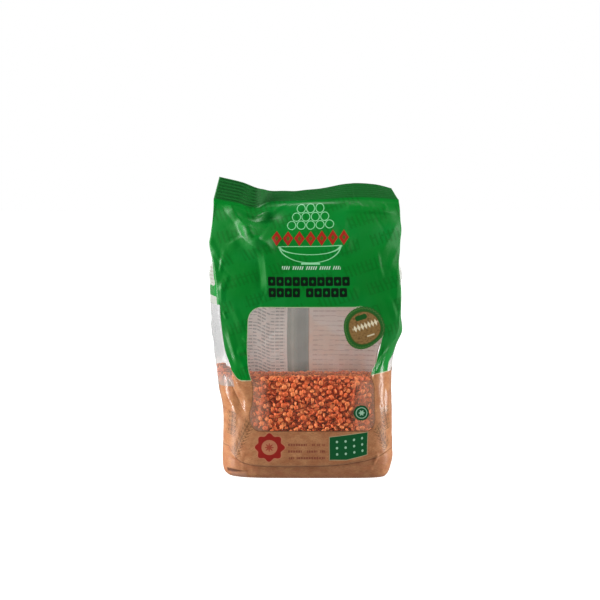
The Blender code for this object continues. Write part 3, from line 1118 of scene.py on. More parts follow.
def behind_film(draw, side, across, upwards, darts, layer, tilt):
    """Lentils in one layer behind a stretch of the film: their middles and their axes."""
    sideways = MM * draw.uniform(*across, darts)
    height = MM * draw.uniform(*upwards, darts)
    outwards = film_outwards(sideways, height, side)
    axes = lean_at_random(outwards, tilt, draw)
    facing = np.abs((axes * outwards).sum(axis=1))
    reach = np.sqrt((LENTIL_RADIUS ** 2) * (1.0 - facing ** 2) + (WHOLE_HALF * LENTIL_RADIUS * facing) ** 2)
    inwards = reach + FILM_GAP + layer * LAYER_STEP
    places = lowest_film(sideways, height, side) - outwards * inwards[:, None]
    below = places[:, 2] < fill_level(places[:, 0], places[:, 1]) - BELOW_LEVEL
    kept = spread(places[below], LENTIL_SPACING)
    return places[below][kept], axes[below][kept]


TOP_TILT = 0.7
TOP_SCATTER = 0.4
TOP_DROP = 0.0008


def on_top(draw, darts, layer):
    """Lentils in one layer of the level top: their middles and their axes."""
    left, right, reach_y = (float(smooth_course(REACH, column, FILL_SECTION)) - FILL_INSET
                            for column in (1, 2, 3))
    x = draw.uniform(-left, right, darts)
    y = draw.uniform(-reach_y, reach_y, darts)
    limit = np.where(x > 0.0, right, left)
    within = (np.abs(x) / limit) ** FILL_ROUNDNESS + (np.abs(y) / reach_y) ** FILL_ROUNDNESS < 1.0
    x = x[within]
    y = y[within]
    scatter = MM * draw.uniform(-TOP_SCATTER, TOP_SCATTER, len(x))
    z = fill_level(x, y) - layer * LAYER_STEP + scatter - TOP_DROP
    places = np.column_stack((x, y, z))
    axes = lean_at_random(np.tile((0.0, 0.0, 1.0), (len(x), 1)), TOP_TILT, draw)
    kept = spread(places, LENTIL_SPACING)
    return places[kept], axes[kept]


# Stretches of the film in millimetres, sideways and up, and how many darts are thrown at each layer
WINDOW_STRETCH = ((-50.0, 60.0), (30.0, 74.0))
GUSSET_STRETCHES = (((-96.0, -62.0), (58.0, 82.0)), ((62.0, 96.0), (58.0, 82.0)))
WINDOW_DARTS = (11000, 8000, 5000)
GUSSET_DARTS = 900
TOP_DARTS = (10000, 6000)
FILM_TILTS = (1.7, 1.8, 1.8)
LENTIL_SEED = 2024


def all_lentils():
    """Middles and axes of every lentil that can be seen."""
    draw = np.random.default_rng(LENTIL_SEED)
    groups = []
    for layer, (darts, tilt) in enumerate(zip(WINDOW_DARTS, FILM_TILTS)):
        groups.append(behind_film(draw, -1, *WINDOW_STRETCH, darts, layer, tilt))
        for side in (-1, 1):
            for stretch in GUSSET_STRETCHES:
                groups.append(behind_film(draw, side, *stretch, GUSSET_DARTS, layer, tilt))
    for layer, darts in enumerate(TOP_DARTS):
        groups.append(on_top(draw, darts, layer))
    places = np.vstack([group[0] for group in groups])
    axes = np.vstack([group[1] for group in groups])
    return places, axes, draw


def turn_to(axes, draw):
    """A rotation for each axis that brings a lentil's upright onto it, with a random spin."""
    helper = draw.normal(size=axes.shape)
    first = np.cross(helper, axes)
    first = first / np.linalg.norm(first, axis=1, keepdims=True)
    return np.stack((first, np.cross(axes, first), axes), axis=2)


def join_copies(name, pattern, places, turns, sizes, tones):
    """One mesh of many copies, each at its place. Every copy keeps its own tone for the material."""
    corners, faces = pattern
    moved = np.einsum("nij,kj->nki", turns, corners) * sizes[:, None, :] + places[:, None, :]
    count = len(corners)
    all_faces = [tuple(index + copy * count for index in face)
                 for copy in range(len(places)) for face in faces]
    mesh = bpy.data.meshes.new(name)
    mesh.from_pydata(moved.reshape(-1, 3), [], all_faces)
    tone = mesh.attributes.new("tone", "FLOAT", "POINT")
    tone.data.foreach_set("value", np.repeat(tones, count).astype(np.float32))
    mesh.shade_smooth()
    heap = bpy.data.objects.new(name, mesh)
    bpy.context.scene.collection.objects.link(heap)
    print(name, len(places), "lentils,", sum(len(face) - 2 for face in all_faces), "triangles")
    return heap


FLIPPED_SHARE = 0.50
SIZE_RANGE = (0.86, 1.08)
KIND_BANDS = {"lentils_split": (0.0, 0.60), "lentils_whole": (0.60, 0.88), "lentils_broken": (0.88, 1.01)}


def scatter_lentils():
    """A mesh of all the lentils of each kind."""
    places, axes, draw = all_lentils()
    turns = turn_to(axes, draw)
    flipped = draw.random(len(places)) < FLIPPED_SHARE
    turns[flipped, :, 1:] *= -1.0
    sizes = draw.uniform(*SIZE_RANGE, (len(places), 1)) * np.ones(3)
    tones = draw.random(len(places))
    chance = draw.random(len(places))
    heaps = []
    for name, (low, high) in KIND_BANDS.items():
        pick = (chance >= low) & (chance < high)
        heaps.append(join_copies(name, LENTIL_KINDS[name], places[pick], turns[pick], sizes[pick],
                                 tones[pick]))
    return heaps


lentil_heaps = scatter_lentils()

# %% [markdown]
# The rest of the heap is hidden, so it is one core: the CAD solid itself, cut off at the fill level and
# drawn in behind the loose lentils. Its skin has bumps of a lentil's size, for the places where it shows in
# a gap.

# %% Make the core of the heap
CORE_INSET = 0.0044
CORE_VOXEL = 0.0022
CORE_CUT = 0.0665
CORE_LUMPS = 0.0005
CORE_TILTS = (0.040, 0.058)


def make_core():
    """The filled part of the CAD solid, smaller by the depth of the loose layers."""
    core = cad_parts["bag"].copy()
    core.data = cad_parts["bag"].data.copy()
    core.name = "lentil_core"
    core.data.name = "lentil_core"
    core.data.materials.clear()
    bpy.context.scene.collection.objects.link(core)
    core.hide_viewport = False
    core.hide_render = False
    for key in [key for key in core.keys() if key.startswith("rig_")]:
        del core[key]
    weld(core)
    bpy.ops.object.mode_set(mode="EDIT")
    bpy.ops.mesh.select_all(action="SELECT")
    bpy.ops.mesh.bisect(plane_co=(0.0, 0.0, CORE_CUT), plane_no=(0.0, 0.0, 1.0), use_fill=True,
                        clear_outer=True)
    bpy.ops.object.mode_set(mode="OBJECT")
    even = core.modifiers.new("even", "REMESH")
    even.mode = "VOXEL"
    even.voxel_size = CORE_VOXEL
    bpy.ops.object.modifier_apply(modifier="even")
    places = vectors_of(core, "co")
    normals = vectors_of(core, "normal")
    x, y, z = places.T / MM
    lumps = CORE_LUMPS * hills(x + y, z + y, 2.6, 95)
    places = places - normals * (CORE_INSET + lumps)[:, None]
    rise = fill_level(places[:, 0], places[:, 1]) - MM * FILL_HEIGHT
    places[:, 2] = places[:, 2] + rise * ease(*CORE_TILTS, places[:, 2])
    move_corners(core, places)
    core.data.shade_smooth()
    print("lentil_core", len(core.data.polygons), "faces")
    return core


lentil_core = make_core()

# %% [markdown]
# Print is flat ink on smooth film, so it belongs in the material and not in the mesh. Each design starts
# with one ground colour and lays ink over ink, where a mask made from a distance says so. An edge made this
# way stays sharp at any size. Inks are given as a screen shows them, and turned to linear light here.

# %% Make a press that lays ink over ink
def ink(red, green, blue):
    """A colour as a screen shows it, from 0 to 255, in linear light."""
    return tuple((part / 255.0 / 12.92) if part < 10.3 else ((part / 255.0 + 0.055) / 1.055) ** 2.4
                 for part in (red, green, blue))


MIX_FACTOR = 0
MIX_FIRST = 6
MIX_SECOND = 7
MIX_RESULT = 2
EDGE_BLUR = 0.13
SMALL_BLUR = 0.2


def inside(distance, blur=EDGE_BLUR):
    """A mask that is 1 inside an outline and 0 outside it."""
    return reckon("MULTIPLY_ADD", distance, -0.5 / blur, 0.5, clamp=True)


def repeated(value, pitch):
    """The same stretch again and again, from minus half a pitch to half a pitch."""
    return reckon("FLOORED_MODULO", value + pitch / 2, pitch) - pitch / 2


class Press:
    """A printed design that grows ink by ink, as the nodes of one material."""

    def __init__(self, name):
        self.material = bpy.data.materials.new(name)
        self.material.use_nodes = True
        self.tree = self.material.node_tree
        self.finish = self.tree.nodes["Principled BSDF"]
        place = self.tree.nodes.new("ShaderNodeUVMap")
        place.uv_map = "film"
        apart = self.tree.nodes.new("ShaderNodeSeparateXYZ")
        self.tree.links.new(place.outputs["UV"], apart.inputs["Vector"])
        self.s = (Inked(apart.outputs["X"]) - 0.5) * (FILM_ON_MAP / MM)
        self.h = Inked(apart.outputs["Y"]) * (FILM_ON_MAP / MM)
        self.colour = (0.5, 0.5, 0.5)

    def feed(self, socket, value):
        """A colour or a node's output into a socket."""
        if isinstance(value, bpy.types.NodeSocket):
            self.tree.links.new(value, socket)
        else:
            socket.default_value = (*value, 1.0)

    def blend(self, first, second, mask):
        """The second colour over the first where the mask says so."""
        mix = self.tree.nodes.new("ShaderNodeMix")
        mix.data_type = "RGBA"
        if isinstance(mask, Inked):
            self.tree.links.new(mask.socket, mix.inputs[MIX_FACTOR])
        else:
            mix.inputs[MIX_FACTOR].default_value = mask
        self.feed(mix.inputs[MIX_FIRST], first)
        self.feed(mix.inputs[MIX_SECOND], second)
        return mix.outputs[MIX_RESULT]

    def lay(self, colour, mask):
        """One more ink over the design."""
        self.colour = self.blend(self.colour, colour, mask)

    def place_on_film(self, cell_s, cell_h, slant=0.0):
        """The place on the film as a vector, measured in cells."""
        joined = self.tree.nodes.new("ShaderNodeCombineXYZ")
        along = (self.s + self.h * slant) / cell_s
        self.tree.links.new(along.socket, joined.inputs["X"])
        self.tree.links.new((self.h / cell_h).socket, joined.inputs["Y"])
        return joined.outputs["Vector"]

    def clouds(self, cell_s, cell_h, detail=2.0, low=0.0, high=1.0):
        """Soft random patches from 0 to 1, of a cell's size."""
        noise = self.tree.nodes.new("ShaderNodeTexNoise")
        noise.noise_dimensions = "2D"
        noise.inputs["Scale"].default_value = 1.0
        noise.inputs["Detail"].default_value = detail
        self.tree.links.new(self.place_on_film(cell_s, cell_h), noise.inputs["Vector"])
        spread_out = Inked(noise.outputs["Fac"]) - low
        return reckon("MULTIPLY", spread_out, 1.0 / (high - low), clamp=True)

    def lottery(self, cell_s, cell_h, slant=0.0):
        """One random number for each cell of a lattice."""
        cells = self.tree.nodes.new("ShaderNodeVectorMath")
        cells.operation = "FLOOR"
        self.tree.links.new(self.place_on_film(cell_s, cell_h, slant), cells.inputs[0])
        draw = self.tree.nodes.new("ShaderNodeTexWhiteNoise")
        draw.noise_dimensions = "2D"
        self.tree.links.new(cells.outputs["Vector"], draw.inputs["Vector"])
        return Inked(draw.outputs["Value"])

    def dashes(self, word, row, low, high, share, slant=0.0):
        """Rows of short dashes of random length, which stand in for small print."""
        s, h = self.s, self.h
        line = size_of(repeated(h, row)) - low
        shown = reckon("GREATER_THAN", self.lottery(word, row, slant), 1.0 - share)
        gap = high / 2 - size_of(repeated(s + h * slant - word / 2, word))
        return inside(most(line, 0.0 - gap), SMALL_BLUR) * shown


# %% [markdown]
# The motifs are plain ones: a bowl heaped with round seeds, lozenges, beads, a rosette, a dotted field and
# ears of wheat. Each is a function that gives the distance outside its outline, in millimetres on the film,
# from a few of the same small pieces: discs, boxes, bands and stretches that repeat.

# %% Draw the motifs
def line_round(distance, width):
    """A line of the given width along an outline."""
    return size_of(distance) - width / 2


def oval(s, h, half_width, half_height):
    """About the distance outside an oval round nought, measured as if upright."""
    round_s = s / half_width
    round_h = h / half_height
    return (root(round_s * round_s + round_h * round_h) - 1.0) * half_height


SEED_PITCH = 6.4
SEED_RADIUS = 2.75
SEED_ROWS = ((14.2, 16.2), (19.6, 12.9), (25.0, 9.7))
BOWL_LINE = 0.46
BOWL_MIDDLE = (2.5, 158.0)
BOWL_HALF_WIDTH = 20.5
BOWL_DEPTH = 11.0


def seed_row(s, h, level, shift, limit):
    """A row of rings side by side."""
    along = repeated(s + shift, SEED_PITCH)
    up = h - level
    ring = line_round(root(along * along + up * up) - SEED_RADIUS, BOWL_LINE)
    return most(ring, size_of(s) - limit)


def bowl_of_seeds(s, h):
    """White line work: a bowl, and three rows of seeds heaped over it."""
    off_s = s - BOWL_MIDDLE[0]
    off_h = h - BOWL_MIDDLE[1]
    shell = line_round(oval(off_s, off_h, BOWL_HALF_WIDTH, BOWL_DEPTH), BOWL_LINE)
    band = line_round(oval(off_s, off_h, BOWL_HALF_WIDTH, 0.5 * BOWL_DEPTH), BOWL_LINE)
    bowl = most(least(shell, band), off_h)
    rim = box(off_s, off_h, (0.0, 0.0), BOWL_HALF_WIDTH + 0.8, BOWL_LINE / 2, 0.1)
    foot = box(off_s, off_h, (0.0, -BOWL_DEPTH - 0.6), 6.5, 0.55, 0.2)
    lines = least(least(bowl, rim), foot)
    for row, (level, limit) in enumerate(SEED_ROWS):
        lines = least(lines, seed_row(off_s, off_h, level, SEED_PITCH / 2 * (row % 2), limit))
    return lines


def lozenges(s, h, middle, pitch, half_width, half_height, limit):
    """A row of lozenges."""
    along = size_of(repeated(s - middle[0], pitch)) / half_width
    up = size_of(h - middle[1]) / half_height
    return most((along + up - 1.0) * (0.7 * half_width), size_of(s - middle[0]) - limit)


def bead_row(s, h, start, level, count, pitch):
    """A row of rounded beads, each with a small lozenge left open."""
    along = repeated(s - start - pitch / 2, pitch)
    up = h - level
    bead = box(along, up, (0.0, 0.0), 0.455 * pitch, 3.05, 0.9)
    hole = (size_of(along) + size_of(up) * 0.8) - 1.0
    row = most(bead, 0.0 - hole)
    return most(row, stretch_between(s, start, start + count * pitch))


def rosette(s, h, middle, radius, depth, petals):
    """A flower shape round a point."""
    off_s = s - middle[0]
    off_h = h - middle[1]
    turn = reckon("ARCTAN2", off_h, off_s)
    wave = reckon("COSINE", turn * petals) * depth
    return root(off_s * off_s + off_h * off_h) - radius - wave


GRAIN_PITCH = 3.1
GRAIN_OFF = 1.7
GRAIN_SIZE = (1.5, 0.95)
WHEAT_LINE = 0.34


def ear_of_wheat(s, h, foot, tip):
    """Line work of an ear of wheat: slanted grains either side of a thin stem, with short awns."""
    length = math.hypot(tip[0] - foot[0], tip[1] - foot[1])
    along_s = (tip[0] - foot[0]) / length
    along_h = (tip[1] - foot[1]) / length
    off_s = s - foot[0]
    off_h = h - foot[1]
    run = off_s * along_s + off_h * along_h
    off = size_of(off_s * along_h - off_h * along_s)
    grain = line_round(oval(off - GRAIN_OFF, repeated(run - off * 0.9, GRAIN_PITCH), *GRAIN_SIZE), 0.60)
    awn = size_of(repeated(run - off * 1.6, GRAIN_PITCH)) - WHEAT_LINE
    awn = most(awn, stretch_between(off, 3.2, 5.6))
    stem = off - WHEAT_LINE
    return most(least(least(grain, stem), awn), stretch_between(run, 0.0, length))


# %% [markdown]
# The front of the pack is green above and kraft brown below, with a curved edge between them. The green has
# a tone-on-tone pattern of slanted strokes, and the brown has the fibres of kraft paper. Both are mixed
# from a few near shades, as no ink on film is one flat colour under a lamp.

# %% Print the front and the sides
INK_GREEN = ink(1, 126, 38)
INK_GREEN_DEEP = ink(2, 104, 26)
INK_GREEN_LIGHT = ink(12, 140, 62)
INK_KRAFT = ink(180, 117, 77)
INK_KRAFT_LIGHT = ink(202, 144, 99)
INK_KRAFT_DEEP = ink(146, 92, 62)
INK_BROWN = ink(104, 66, 40)
INK_WHITE = ink(222, 240, 226)
INK_DARK = ink(8, 26, 14)
INK_RED = ink(168, 40, 26)
INK_LABEL = ink(170, 174, 164)
INK_CREAM = ink(236, 224, 190)
INK_FLAG = ink(4, 90, 44)
INK_MINT = ink(176, 222, 190)
INK_KEYLINE = ink(196, 206, 170)
INK_SEAL = ink(2, 88, 26)
INK_LINES = ink(158, 230, 176)
INK_MARK = ink(158, 32, 24)
INK_MARK_RIM = ink(206, 130, 100)
INK_BADGE_RIM = ink(38, 98, 38)
INK_BADGE_DOTS = ink(104, 140, 76)
INK_BADGE_RING = ink(66, 92, 36)
INK_BADGE_FIELD = ink(150, 116, 70)
INK_BADGE_MOTTLE = ink(104, 78, 42)
INK_BADGE_LEAF = ink(30, 88, 34)
INK_SPOT = ink(14, 84, 46)
INK_ROWS = ink(122, 50, 40)
INK_WHEAT = ink(96, 68, 40)
# The next five are the redder streaks below the crease, its painted shade and painted highlight, the painted
# shadow of the recess, and the flap
INK_REDDER_BELOW_CREASE = ink(190, 122, 92)
INK_CREASE_SHADE = ink(84, 50, 32)
INK_CREASE_HIGHLIGHT = ink(206, 160, 128)
INK_RECESS_SHADOW = ink(74, 42, 30)
INK_FLAP = ink(186, 142, 124)
RED_MIDDLE = (-28.2, 22.3)
RED_STRETCH = 1.19
CREASE_ENDS = 70.0
PATTERN_COS = 0.96
PATTERN_SIN = 0.27
PATTERN_ROW = 15.0
PATTERN_WORD = 36.0
STROKE_PITCH = 3.1
BAR_PITCH = 3.9
BADGE_COS = 0.956
BADGE_SIN = 0.292
GEM_ROW = ((2.5, 163.3), 7.5, 3.5, 5.0, 26.2)
BEAD_ROWS = ((-27.5, 134.5, 10), (-27.5, 127.0, 4), (-1.0, 127.0, 5))
BEAD_PITCH = 5.7
WHEAT_EARS = (
    ((-67.8, 30.0), (-65.6, 46.0)),
    ((-63.4, 16.4), (-45.2, 39.6)),
    ((67.4, 21.8), (56.4, 36.8)),
    ((69.6, 34.0), (66.2, 49.0)),
)


def kraft_ground(press):
    """Kraft paper: blotches, long fibres and short dark specks."""
    blotches = press.clouds(9.0, 5.0, 3.0, 0.30, 0.70)
    fibres = press.clouds(2.6, 0.45, 2.0, 0.35, 0.70)
    specks = press.clouds(0.9, 0.6, 1.0, 0.66, 0.78)
    tone = press.blend(INK_KRAFT, INK_KRAFT_LIGHT, blotches)
    tone = press.blend(tone, INK_KRAFT_DEEP, fibres * 0.45)
    return press.blend(tone, INK_BROWN, specks * 0.55)


def green_ground(press):
    """Green ink with slanted groups of strokes in a deeper green, and soft patches."""
    s, h = press.s, press.h
    run = s * PATTERN_COS + h * PATTERN_SIN
    rise = h * PATTERN_COS - s * PATTERN_SIN
    row = reckon("FLOOR", rise / PATTERN_ROW)
    shifted = run + row * 13.0
    word = size_of(repeated(shifted, PATTERN_WORD)) - 14.0
    stroke = size_of(repeated(shifted + rise * 0.12, STROKE_PITCH)) - 0.62
    long_stroke = size_of(repeated(rise - PATTERN_ROW / 2, PATTERN_ROW)) - 3.9
    crossbar = size_of(repeated(rise - PATTERN_ROW / 2, BAR_PITCH)) - 0.45
    chosen = reckon("GREATER_THAN", press.lottery(STROKE_PITCH, BAR_PITCH, 0.28), 0.55)
    marks = inside(most(most(stroke, word), long_stroke), 0.35)
    bars = inside(most(most(crossbar, word), long_stroke), 0.35) * chosen
    tone = press.blend(INK_GREEN, INK_GREEN_LIGHT, press.clouds(30.0, 22.0, 1.0, 0.42, 0.75) * 0.35)
    return press.blend(tone, INK_GREEN_DEEP, most(marks, bars) * 0.60)


def green_edge(s):
    """The height on the film where brown gives way to green. It rises to the left corner."""
    left = least(most(-48.0 - s, 0.0), 16.0)
    return s * 0.035 + left * left * 0.06 + most(s - 40.0, 0.0) * 0.045 + 69.6


def print_sides(press):
    """The gussets above their clear stretch: a pale bar, and a pale label with rows of small print."""
    s, h = press.s, press.h
    gusset = GUSSET_PRINT_FROM - size_of(s)
    press.lay(INK_LABEL, inside(most(gusset + 0.6, stretch_between(h, GUSSET_CLEAR_HIGH, 124.0))))
    label = box(size_of(s), h, (PANEL_EDGE + GUSSET_HALF / MM, 138.7), GUSSET_HALF / MM - 2.0, 7.8, 4.0)
    press.lay(INK_LABEL, inside(label))
    rows = inside(most(label + 1.6, size_of(repeated(h, 2.6)) - 0.35), SMALL_BLUR)
    chosen = reckon("GREATER_THAN", press.lottery(2.3, 2.6), 0.35)
    press.lay(INK_BROWN, rows * chosen * 0.45)


BADGE_PETALS = 40.0
BADGE_DOT_RING = 13.2
BADGE_FIELD_RADIUS = 10.7


def print_badge(press):
    """A round badge: a scalloped green rim with pale dots, and a brown field with lozenges."""
    s, h = press.s, press.h
    scallop = rosette(s, h, BADGE_MIDDLE, BADGE_RADIUS + 0.1, 0.28, BADGE_PETALS)
    on_window = inside(front_window(s, h) - 1.0, 0.5)
    press.lay(INK_KEYLINE, inside(scallop - 0.45) * on_window * 0.8)
    press.lay(INK_BADGE_RIM, inside(scallop))
    dots = rosette(s, h, BADGE_MIDDLE, BADGE_DOT_RING, 0.42, BADGE_PETALS)
    press.lay(INK_BADGE_DOTS, inside(line_round(dots, 0.45)) * 0.75)
    field = disc(s, h, BADGE_MIDDLE, BADGE_FIELD_RADIUS)
    press.lay(INK_BADGE_RING, inside(field - 0.7))
    press.lay(INK_BADGE_FIELD, inside(field))
    press.lay(INK_BADGE_MOTTLE, inside(field) * press.clouds(1.6, 1.1, 3.0, 0.45, 0.70) * 0.8)
    off_s = s - BADGE_MIDDLE[0]
    off_h = h - BADGE_MIDDLE[1]
    run = off_s * BADGE_COS + off_h * BADGE_SIN
    rise = off_h * BADGE_COS - off_s * BADGE_SIN
    press.lay(INK_BADGE_LEAF, inside(box(run, rise, (0.0, 7.4), 4.15, 1.7, 1.5)))
    press.lay(INK_CREAM, inside(lozenges(run, rise, (1.0, 1.4), 2.5, 1.15, 2.3, 9.3)))
    press.lay(INK_CREAM, inside(box(run, rise, (2.6, -5.8), 2.6, 0.5, 0.4)) * 0.8)


def print_red_mark(press):
    """A red rosette with an open ring."""
    s = (press.s - RED_MIDDLE[0]) / RED_STRETCH
    h = press.h - RED_MIDDLE[1]
    middle = (0.0, 0.0)
    petals = rosette(s, h, middle, 9.0, 0.9, 8.0)
    press.lay(INK_MARK_RIM, inside(petals - 0.8) * 0.5)
    press.lay(INK_MARK, inside(most(petals, 5.2 - root(s * s + h * h))))
    press.lay(INK_MARK, inside(rosette(s, h, middle, 2.2, 0.8, 8.0)) * 0.75)


ROW_PITCH = 4.6
ROW_LETTER = 1.9
ROW_AREA = ((-0.4, 19.6), 13.6, 7.2, 0.5)
FIELD_LEFT = 16.6
FIELD_RIGHT = 46.1
FIELD_TOP = 27.5
FIELD_TOP_SLOPE = 0.1133
FIELD_FOOT = 13.8
FIELD_FOOT_SLOPE = 0.2317
FIELD_FOOT_BENDS_AT = 29.0
FIELD_DOTS_FROM = 28.4
FIELD_DOT_PITCH = (6.4, 4.3)
FIELD_DOT_RADIUS = 0.85


def print_low_marks(press):
    """The marks on the brown ground: a red rosette, fine rows and a green field with dots."""
    s, h = press.s, press.h
    print_red_mark(press)
    rows = size_of(repeated(h - 24.2, ROW_PITCH)) - 0.8
    area = box(s, h, *ROW_AREA)
    chosen = reckon("GREATER_THAN", press.lottery(ROW_LETTER, ROW_PITCH), 0.22)
    strokes = size_of(repeated(s, ROW_LETTER)) - 0.72
    press.lay(INK_ROWS, inside(most(most(rows, area), strokes), 0.25) * chosen * 0.75)
    top = s * FIELD_TOP_SLOPE + FIELD_TOP
    bottom = most(s - FIELD_FOOT_BENDS_AT, 0.0) * FIELD_FOOT_SLOPE + FIELD_FOOT
    side = most(FIELD_LEFT - s, s - FIELD_RIGHT + (32.8 - h) * 0.09)
    field = most(most(h - top, bottom - h), side)
    press.lay(INK_KEYLINE, inside(field - 0.4) * 0.5)
    press.lay(INK_FLAG, inside(field))
    up = repeated(h - (top + bottom) * 0.5, FIELD_DOT_PITCH[1])
    along = repeated(s - FIELD_DOTS_FROM, FIELD_DOT_PITCH[0])
    dots = most(root(along * along + up * up) - FIELD_DOT_RADIUS, field + 2.2)
    press.lay(INK_MINT, inside(dots) * 0.9)


RECESS_STRETCH = (-72.0, -47.0)
RECESS_LEVEL = 4.9
FLAP_STRETCH = (-68.0, -49.0)
FLAP_TOP = 3.6


def paint_crease_light_and_shade(press):
    """Painted crease shade and highlight, redder streaks below, a painted recess shadow and a pale flap."""
    share = least(size_of(press.s) / CREASE_ENDS, 1.0)
    right = reckon("POWER", share, CREASE_POWER_RIGHT) * (CREASE_RISE_RIGHT / MM)
    left = reckon("POWER", share, CREASE_POWER_LEFT) * (CREASE_RISE_LEFT / MM)
    on_right = reckon("GREATER_THAN", press.s, 0.0)
    crease = on_right * right + (1.0 - on_right) * left + CREASE_HEIGHT / MM
    below = press.h - crease
    # Redder streaks over the band below the crease
    press.lay(INK_REDDER_BELOW_CREASE, inside(below, 0.6) * press.clouds(9.0, 1.6, 2.0, 0.35, 0.65) * 0.35)
    # A painted shadow line in the crease, and a painted highlight just below it
    press.lay(INK_CREASE_SHADE, inside(line_round(below, 0.45), 0.3) * 0.75)
    press.lay(INK_CREASE_HIGHLIGHT, inside(line_round(below - 0.75, 0.4), 0.3) * 0.35)
    # A painted shadow in the recess above the folded flap at the lower left corner
    narrowing = rise_of(press.s, -47.0, -68.0)
    recess_shadow = size_of(press.h - RECESS_LEVEL) - narrowing * 1.3 + 0.1
    recess_shadow = most(recess_shadow, stretch_between(press.s, *RECESS_STRETCH))
    press.lay(INK_RECESS_SHADOW, inside(recess_shadow, 0.5) * 0.85)
    flap = most(stretch_between(press.s, *FLAP_STRETCH), press.h - FLAP_TOP)
    press.lay(INK_FLAP, inside(flap, 1.2) * 0.5)


def print_wheat(press):
    """Ears of wheat in thin brown lines, at both lower corners."""
    for foot, tip in WHEAT_EARS:
        press.lay(INK_WHEAT, inside(ear_of_wheat(press.s, press.h, foot, tip), 0.22) * 0.80)


TICK_PITCH = 1.55
TICK_SLANT = 0.35
TICK_WORD = 9.4
SLOGAN_LEVEL = 143.6
SLOGAN_STRETCH = (-17.2, 23.2)


def slogan_of_ticks(s, h):
    """Slanted ticks in groups like the words of a line."""
    ticks = size_of(repeated(s - (h - 143.5) * TICK_SLANT, TICK_PITCH)) - 0.36
    words = size_of(repeated(s - 3.0, TICK_WORD)) - 3.9
    line = most(size_of(h - SLOGAN_LEVEL) - 1.15, stretch_between(s, *SLOGAN_STRETCH))
    return most(most(ticks, words), line)


def print_front(press):
    """The whole design of the front half of the film."""
    s, h = press.s, press.h
    press.colour = kraft_ground(press)
    green = green_ground(press)
    print_wheat(press)
    paint_crease_light_and_shade(press)
    brown_line = most(line_round(front_window(s, h) - 0.3, 0.6), h - green_edge(s))
    press.lay(INK_BROWN, inside(brown_line) * 0.75)
    edge = green_edge(s) - h
    press.lay(INK_KEYLINE, inside(edge - 0.5) * 0.8)
    press.lay(green, inside(edge))
    pale_line = most(front_window(s, h) - 0.45, edge)
    press.lay(INK_KEYLINE, inside(pale_line) * 0.8)
    press.lay(INK_SEAL, inside(SEAL_LINE / MM - h) * 0.75)
    print_sides(press)
    press.lay(INK_LINES, inside(bowl_of_seeds(s, h)) * 0.92)
    gems = lozenges(s, h, *GEM_ROW)
    press.lay(INK_RED, inside(gems))
    press.lay(INK_GREEN_DEEP, inside(gems + 1.55) * 0.8)
    press.lay(INK_WHITE, inside(slogan_of_ticks(s, h)) * 0.85)
    for start, level, count in BEAD_ROWS:
        press.lay(INK_DARK, inside(bead_row(s, h, start, level, count, BEAD_PITCH)))
    print_badge(press)
    press.lay(INK_SPOT, inside(spot(s, h) - 0.2))
    press.lay(INK_MINT, inside(line_round(spot(s, h) + 1.6, 0.5)) * 0.9)
    spot_s = (s - SPOT_MIDDLE[0]) / SPOT_STRETCH
    press.lay(INK_MINT, inside(rosette(spot_s, h - SPOT_MIDDLE[1], (0.0, 0.0), 1.6, 0.45, 6.0)) * 0.9)
    print_low_marks(press)


# %% [markdown]
# The back carries what such a pack has there: two pale fields with rows of small print, here only random
# dashes, between green above and kraft below, and a plain strip for the fin seal. Seen through the window
# the left field is off-white and the right one tan, as the photograph shows them from inside.

# %% Print the back
BACK_GREEN_FROM = 121.0
BACK_FIELD_LOW = 30.0
BACK_FIELD_HIGH = 124.0
INK_BACK_WHITE = ink(250, 240, 232)
INK_BACK_LETTERS = ink(62, 54, 52)
INK_BACK_TAN = ink(244, 208, 184)
INK_BACK_TAN_LIGHT = ink(246, 230, 222)
INK_BACK_DASHES = ink(172, 116, 100)
INK_SEAM = ink(138, 142, 126)
INK_SEAM_DEEP = ink(96, 100, 88)
INK_SEAM_LIGHT = ink(188, 186, 172)
SEAM_LOW = 26.0
SEAM_HIGH = 190.0
WORD_PITCH = 3.4
LETTER_PITCH = 0.95
LINE_PITCH = 2.5


